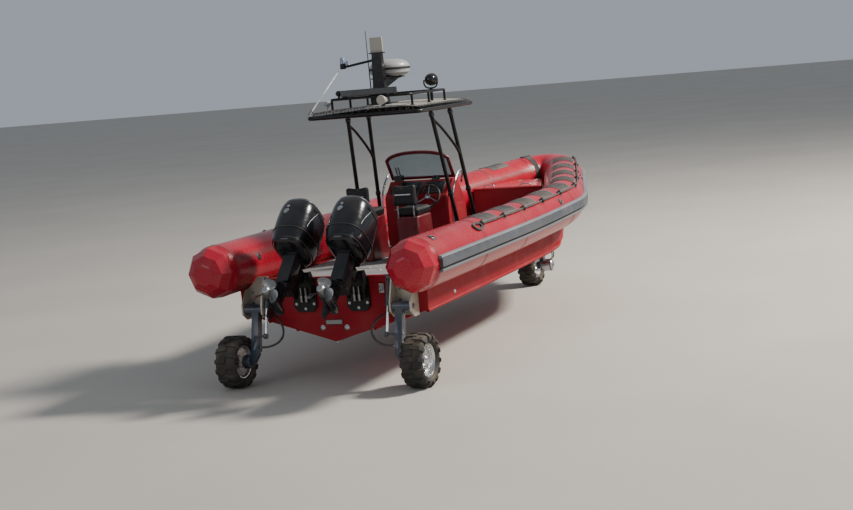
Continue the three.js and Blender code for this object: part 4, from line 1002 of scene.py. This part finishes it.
# Place and size of the pin's cap and of the two bolts on the leg's inner side.
LEG_BOLTS = (((1.1212, -0.165, 0.930), 0.026), ((0.9952, -0.290, 0.52), 0.014),
             ((0.9952, -0.255, 0.62), 0.014))
bracket_sand = finish("bracket_sand", (0.46, 0.43, 0.36), 0.42, metal=0.35, drift=0.15, grain=120,
                      relief=0.06, dust=0.35)
leg_blue = finish("leg_blue", (0.040, 0.052, 0.078), 0.34, metal=0.3, drift=0.16, grain=90, relief=0.05,
                  coat=0.2, dust=0.35)
chrome = finish("chrome", (0.72, 0.73, 0.74), 0.12, metal=1.0, drift=0.04, grain=60, relief=0.01)


# A hexagon head on its washer, a size being half the head's width.
def bolt(place, axis, size, bm):
    head = [(0, 0.62 * size), (0.80 * size, 0.62 * size), (0.92 * size, 0.50 * size),
            (0.92 * size, 0.12 * size)]
    washer = [(0.0, 0.14 * size), (1.35 * size, 0.12 * size), (1.40 * size, 0.0), (0, 0.0)]
    spun(head, place, axis, 6, bm)
    spun(washer, place, axis, 14, bm)


bolts = bmesh.new()
for name, hand in SIDES:
    eased(f"rear_bracket_{name}", bracket_sand, bevel=0.004)
    eased(f"rear_leg_{name}", leg_blue, bevel=0.006)
    top, foot = at(hand * 0.800, -0.095, 1.265), at(hand * 0.800, -0.272, 0.620)
    ram_way = foot - top
    far = ram_way.length
    piece(f"ram_barrel_{name}", spun(RAM_BARREL, top, ram_way, 28), leg_blue,
          stands_for=[f"rear_ram_{name}"])
    rod = spun([(0, 0.33), (0.017, 0.33), (0.017, far - 0.03), (0, far - 0.03)], top, ram_way, 24)
    piece(f"ram_rod_{name}", rod, chrome)
    ram_eyes = bmesh.new()
    for end in (top, foot):
        spun(RAM_EYE, end, (1, 0, 0), 28, ram_eyes)
    piece(f"ram_eyes_{name}", ram_eyes, leg_blue)
    for x, z in PLATE_BOLTS:
        bolt(at(hand * x, -0.0262, z), (0, -1, 0), 0.013, bolts)
    for (x, run, z), size in LEG_BOLTS:
        bolt(at(hand * x, run, z), (hand, 0, 0), size, bolts)
    for angle in (2 * pi * i / 8 for i in range(8)):
        around = Vector((0, 0.062 * cos(angle), 0.062 * sin(angle)))
        bolt(at(hand * 1.006, REAR_AXLE, AXLE_UP) + around, (-hand, 0, 0), 0.008, bolts)
piece("gear_bolts", bolts, fitting_steel)

# Front leg: a saddle in the stem's recess, a leg that reaches aft, and a steered knuckle with its
# drive motor beside the tyre. Two steel lines feed the motor from the knuckle's head.
FRONT_AXLE = 7.18
MOTOR = [(0.0965, 0.185), (0.0975, 0.190), (0.0975, 0.330), (0.090, 0.345), (0.074, 0.3625), (0.050, 0.366),
         (0.048, 0.360), (0, 0.360)]
# Across, share of the spacing and height.
MOTOR_LINE = ((0.231, 1.0, 0.630), (0.262, 1.0, 0.640), (0.330, 1.6, 0.612), (0.372, 1.9, 0.530),
              (0.376, 1.6, 0.450), (0.340, 1.2, 0.412))
eased("front_bracket", bracket_sand, bevel=0.004)
eased("front_leg", leg_blue, bevel=0.006)
eased("front_knuckle", leg_blue, "front_knuckle", bevel=0.006)
case = spun(MOTOR, at(0.0, FRONT_AXLE, AXLE_UP), (1, 0, 0), 40)
piece("motor_case", case, bare_metal, "front_knuckle")
motor_lines = bmesh.new()
for shift in (-0.022, 0.022):
    pipe([at(x, FRONT_AXLE + shift * share, z) for x, share, z in MOTOR_LINE], 0.011, 10, motor_lines,
         smooth=6)
piece("motor_lines", motor_lines, fitting_steel, "front_knuckle")

# Wheels: soft all-terrain tyres with two rows of chunky lugs and ribbed sidewalls, on spun and stepped
# silver rims with a bead lip, a dish, five nuts and a cone cap.
LUGS = 14
SIDEWALL = [(0.198, -0.100), (0.206, -0.112), (0.214, -0.112), (0.222, -0.122), (0.240, -0.130),
            (0.256, -0.131), (0.260, -0.128), (0.266, -0.131), (0.282, -0.126), (0.296, -0.108),
            (0.301, -0.092)]
TREAD = [(0.3035, -0.05), (0.3042, 0.0), (0.3035, 0.05)]
LUG = [(-0.027, 0.0), (0.027, 0.0), (0.0225, 0.0225), (-0.0225, 0.0225)]
# A lug from the crown out over the shoulder: across, height, drift along the tread, and turn down.
LUG_ROWS = ((-0.014, 0.2955, -0.0075, 0), (0.045, 0.2957, -0.001, 0), (0.104, 0.2950, 0.0055, 12),
            (0.124, 0.274, 0.0075, 62), (0.1315, 0.250, 0.0085, 86))
RIM = [(0, -0.052), (0.062, -0.052), (0.072, -0.064), (0.168, -0.066), (0.186, -0.096), (0.1975, -0.0985),
       (0.1975, -0.088), (0.190, -0.080), (0.190, 0.080), (0.1975, 0.090), (0.1985, 0.099), (0.192, 0.103),
       (0.184, 0.098), (0.178, 0.084), (0.170, 0.080), (0.167, 0.066), (0.158, 0.062), (0.154, 0.040),
       (0.120, 0.034), (0.112, 0.038), (0.092, 0.036), (0.086, 0.048), (0.070, 0.052), (0.062, 0.074),
       (0.046, 0.084), (0.034, 0.096), (0.012, 0.104), (0, 0.105)]
REAR_OUT = 1.215
# Name, place of the wheel's middle, the side it faces, and the body it turns with.
WHEELS = (("front", (0.0, FRONT_AXLE), -1, "front_wheel"),
          ("rear_port", (-REAR_OUT, REAR_AXLE), -1, "rear_wheel_port"),
          ("rear_starboard", (REAR_OUT, REAR_AXLE), 1, "rear_wheel_starboard"))
tyre_rubber = finish("tyre_rubber", (0.022, 0.020, 0.018), 0.78, drift=0.25, drift_size=6, grain=260,
                     relief=0.35, dust=0.30)
rim_silver = finish("rim_silver", (0.60, 0.61, 0.62), 0.24, metal=1.0, drift=0.08, grain=90, relief=0.03,
                    dust=0.3)


def tyre(middle, outward):
    bm = bmesh.new()
    profile = [*SIDEWALL, *TREAD, *[(r, -along) for r, along in reversed(SIDEWALL)]]
    spun([*profile, profile[0]], middle, (1, 0, 0), 72, bm)
    for i in range(2 * LUGS):
        hand = (1 if i % 2 == 0 else -1) * outward
        turn = Matrix.Translation(middle) @ Matrix.Rotation(2 * pi * i / (2 * LUGS), 4, "X")
        stations = []
        for across, height, drift, drop in LUG_ROWS:
            stations.append(turn @ Matrix.Translation((hand * across, drift, -height))
                            @ Matrix.Rotation(pi, 4, "Y") @ Matrix.Rotation(-hand * radians(drop), 4, "Y")
                            @ Matrix.Rotation(radians(-90), 4, "Z"))
        drawn(LUG, stations, bm)
    return bm


for name, (x, run), outward, body in WHEELS:
    middle = at(x, run, AXLE_UP)
    piece(f"tyre_{name}_lugged", tyre(middle, outward), tyre_rubber, body, crease=30,
          stands_for=[f"tyre_{name}"])
    piece(f"rim_{name}_turned", spun(RIM, middle, (outward, 0, 0), 64), rim_silver, body, crease=28,
          stands_for=[f"rim_{name}"])
    nuts = bmesh.new()
    for angle in (2 * pi * i / 5 for i in range(5)):
        around = Vector((outward * 0.0365, 0.104 * cos(angle), 0.104 * sin(angle)))
        bolt(middle + around, (outward, 0, 0), 0.012, nuts)
    valve_stem = [middle + Vector((outward * 0.066, 0.0, 0.162)),
                  middle + Vector((outward * 0.100, 0.0, 0.156))]
    pipe(valve_stem, 0.005, 8, nuts)
    piece(f"nuts_{name}", nuts, chrome, body)

# Outboards: black cowls on black legs, tilted up about the clamp bracket's tube, with two tilt rams
# between the clamp plates. The cowl parts along a seam with a soft black seal.
TILT = radians(-45)
ENGINE_OUT = 0.354
TILT_TUBE = (-0.090, 1.320)
# Height, front, back and half width of the cowl, before the tilt.
COWL = [(0.080, -0.045, -0.560, 0.165), (0.130, -0.015, -0.600, 0.215), (0.300, 0.005, -0.625, 0.245),
        (0.560, 0.000, -0.620, 0.242), (0.690, -0.030, -0.590, 0.215), (0.750, -0.090, -0.540, 0.160),
        (0.775, -0.170, -0.460, 0.090)]
SQUARENESS = 0.75
SEALS = ((0.268, 0.004, -0.624, 0.2435), (0.128, -0.0155, -0.5995, 0.2145))
CLAMP_BOLTS = ((-0.118, 1.20), (0.118, 1.20), (-0.118, 0.96), (0.118, 0.96), (0.0, 0.90))
TILT_RAM = [(0, 0.0), (0.017, 0.0), (0.019, 0.006), (0.019, 0.085), (0.010, 0.090), (0.010, 0.175),
            (0, 0.175)]


# A level outline of the cowl, between a circle and a rectangle.
def superellipse(z, front, back, half_width, count=40):
    middle, depth = (front + back) / 2, (front - back) / 2
    points = []
    for angle in (2 * pi * i / count for i in range(count)):
        c, s = cos(angle), sin(angle)
        across = half_width * (abs(c) ** SQUARENESS) * (1 if c > 0 else -1)
        along = middle + depth * (abs(s) ** SQUARENESS) * (1 if s > 0 else -1)
        points.append(Vector((across, along, z)))
    return points


# A bare sweep line along one side of the cowl, which follows its outline and narrows towards the top.
def sweep_line(side):
    points = []
    for share in (i / 12 for i in range(13)):
        depth = 0.62 - 0.42 * share ** 1.6
        wide = 0.2455 - 0.003 * share - 0.012 * max(0.0, share - 0.75) * 4
        edge = (1 - min(1.0, depth) ** (2 / SQUARENESS)) ** (SQUARENESS / 2)
        points.append(Vector((side * wide * edge, -0.311 - 0.313 * depth, 0.335 + 0.30 * share)))
    return points


cowl_rows = rounded([Vector((z, front, back)) for z, front, back, _ in COWL], 5)
cowl_half = rounded([Vector((z, wide, 0)) for z, _, _, wide in COWL], 5)
for name, hand in SIDES:
    body = f"engine_{name}"
    tilted = Matrix.Translation(at(hand * ENGINE_OUT, *TILT_TUBE)) @ Matrix.Rotation(TILT, 4, "X")
    aft = tilted.to_3x3() @ Vector((0, -1, 0))
    shell = lofted([superellipse(row.x, row.y, row.z, wide.y) for row, wide in zip(cowl_rows, cowl_half)])
    shell.transform(tilted)
    piece(f"cowl_{name}_moulded", shell, black_gloss, body, crease=60,
          stands_for=[f"cowl_{name}"])
    seal = bmesh.new()
    for z, front, back, wide in SEALS:
        loop = superellipse(z, front + 0.001, back - 0.001, wide + 0.001, 48)
        pipe([tilted @ p for p in loop + loop[:1]], 0.006, 8, seal)
    piece(f"cowl_seal_{name}", seal, black_rubber, body)
    trim = bmesh.new()
    loop = superellipse(0.702, -0.034, -0.583, 0.208, 48)
    pipe([tilted @ p for p in loop + loop[:1]], 0.0045, 8, trim)
    for z, size in ((0.500, 0.040), (0.575, 0.018)):
        disc = [(0, 0.004), (size * 0.8, 0.004), (size, 0.001), (size, -0.012), (0, -0.012)]
        spun(disc, tilted @ Vector((-0.05, -0.6185, z)), aft, 28, trim)
    for side in (1, -1):
        pipe([tilted @ p for p in sweep_line(side)], 0.0055, 8, trim)
    piece(f"cowl_badges_{name}", trim, bare_metal, body)
    vents = bmesh.new()
    for along in (0.034 * i for i in range(7)):
        for side in (1, -1):
            box((side * 0.238, -0.46 + along, 0.60), (side * 0.2435, -0.44 + along, 0.66), vents, tilted)
    piece(f"cowl_vents_{name}", vents, deep_black, body)
    eased(f"midsection_{name}", black_gloss, body, bevel=0.012)
    eased(f"swivel_bracket_{name}", frame_black, f"swivel_{name}", bevel=0.006)
    eased(f"clamp_bracket_{name}", frame_black, bevel=0.006)
    clamp_bolts = bmesh.new()
    for x, z in CLAMP_BOLTS:
        bolt(at(hand * ENGINE_OUT + x, -0.0302, z), (0, -1, 0), 0.013, clamp_bolts)
    piece(f"clamp_bolts_{name}", clamp_bolts, bare_metal)
    tilt_rams = bmesh.new()
    for x in (hand * ENGINE_OUT - 0.032, hand * ENGINE_OUT + 0.032):
        low_end, high_end = at(x, -0.055, 0.985), at(x, -0.062, 1.165)
        spun(TILT_RAM, low_end, high_end - low_end, 18, tilt_rams)
    piece(f"tilt_rams_{name}", tilt_rams, fitting_steel)

# Propellers: three raked blades of grey cast metal on a tapered hub, held by a bare cap nut. Each
# blade is lofted from its root to its rounded tip.
SHAFT = -0.650
BLADE_AT = -0.565
HUB = [(0, -0.628), (0.020, -0.628), (0.040, -0.618), (0.050, -0.606), (0.058, -0.570), (0.0605, -0.530),
       (0.056, -0.507), (0, -0.507)]
SCREW_CAP = [(0, 0.0), (0.034, 0.0), (0.044, -0.008), (0.046, -0.014), (0, -0.014)]
# Radius, half width, pitch and half thickness of a blade's sections.
BLADE_ROWS = ((0.050, 0.048, 52, 0.010), (0.075, 0.064, 46, 0.009), (0.105, 0.080, 38, 0.007),
              (0.135, 0.080, 32, 0.005), (0.158, 0.066, 28, 0.004), (0.173, 0.044, 25, 0.003),
              (0.181, 0.018, 24, 0.002))
# Points round a section, as shares of its half width and of its half thickness.
BLADE_EDGE = ((-1, 0), (-0.6, 0.8), (0, 1), (0.6, 0.7), (1, 0), (0.6, -0.4), (0, -0.5), (-0.6, -0.4))
prop_metal = finish("prop_metal", (0.16, 0.165, 0.17), 0.28, metal=0.8, drift=0.1, grain=60, relief=0.03,
                    dust=0.15)


def blade_section(radius, half_width, pitch, thick):
    c, s = cos(radians(pitch)), sin(radians(pitch))
    points = []
    for wide, deep in BLADE_EDGE:
        w, t = wide * half_width, deep * thick
        points.append(Vector((w * c - t * s, BLADE_AT + w * s + t * c, radius)))
    return points


for name, hand in SIDES:
    tilted = Matrix.Translation(at(hand * ENGINE_OUT, *TILT_TUBE)) @ Matrix.Rotation(TILT, 4, "X")
    screw = spun(HUB, (0, 0, 0), (0, 1, 0), 36)
    for i in range(3):
        blade = lofted([blade_section(*row) for row in BLADE_ROWS])
        blade.transform(Matrix.Rotation(2 * pi * i / 3, 4, "Y"))
        data = bpy.data.meshes.new("blade")
        blade.to_mesh(data)
        blade.free()
        screw.from_mesh(data)
        bpy.data.meshes.remove(data)
    screw.transform(tilted @ Matrix.Translation((0, 0, SHAFT)))
    piece(f"screw_{name}", screw, prop_metal, f"propeller_{name}", crease=50,
          stands_for=[f"propeller_{name}"])
    cap = spun(SCREW_CAP, tilted @ Vector((0, -0.629, SHAFT)), tilted.to_3x3() @ Vector((0, -1, 0)), 28)
    piece(f"screw_cap_{name}", cap, bare_metal, f"propeller_{name}")

# Side fittings: a small round lens in a low housing, one screwed to each side of the hull near the
# stern.
SIDE_LENS = [(0, 0.016), (0.014, 0.016), (0.024, 0.008), (0.026, 0.0), (0, 0.0)]
side_lights = bmesh.new()
for hand in (1, -1):
    spun(SIDE_LENS, at(hand * 1.2375, 0.83, 0.935), (hand, 0, 0.25), 20, side_lights)
piece("side_fittings", side_lights, lens)
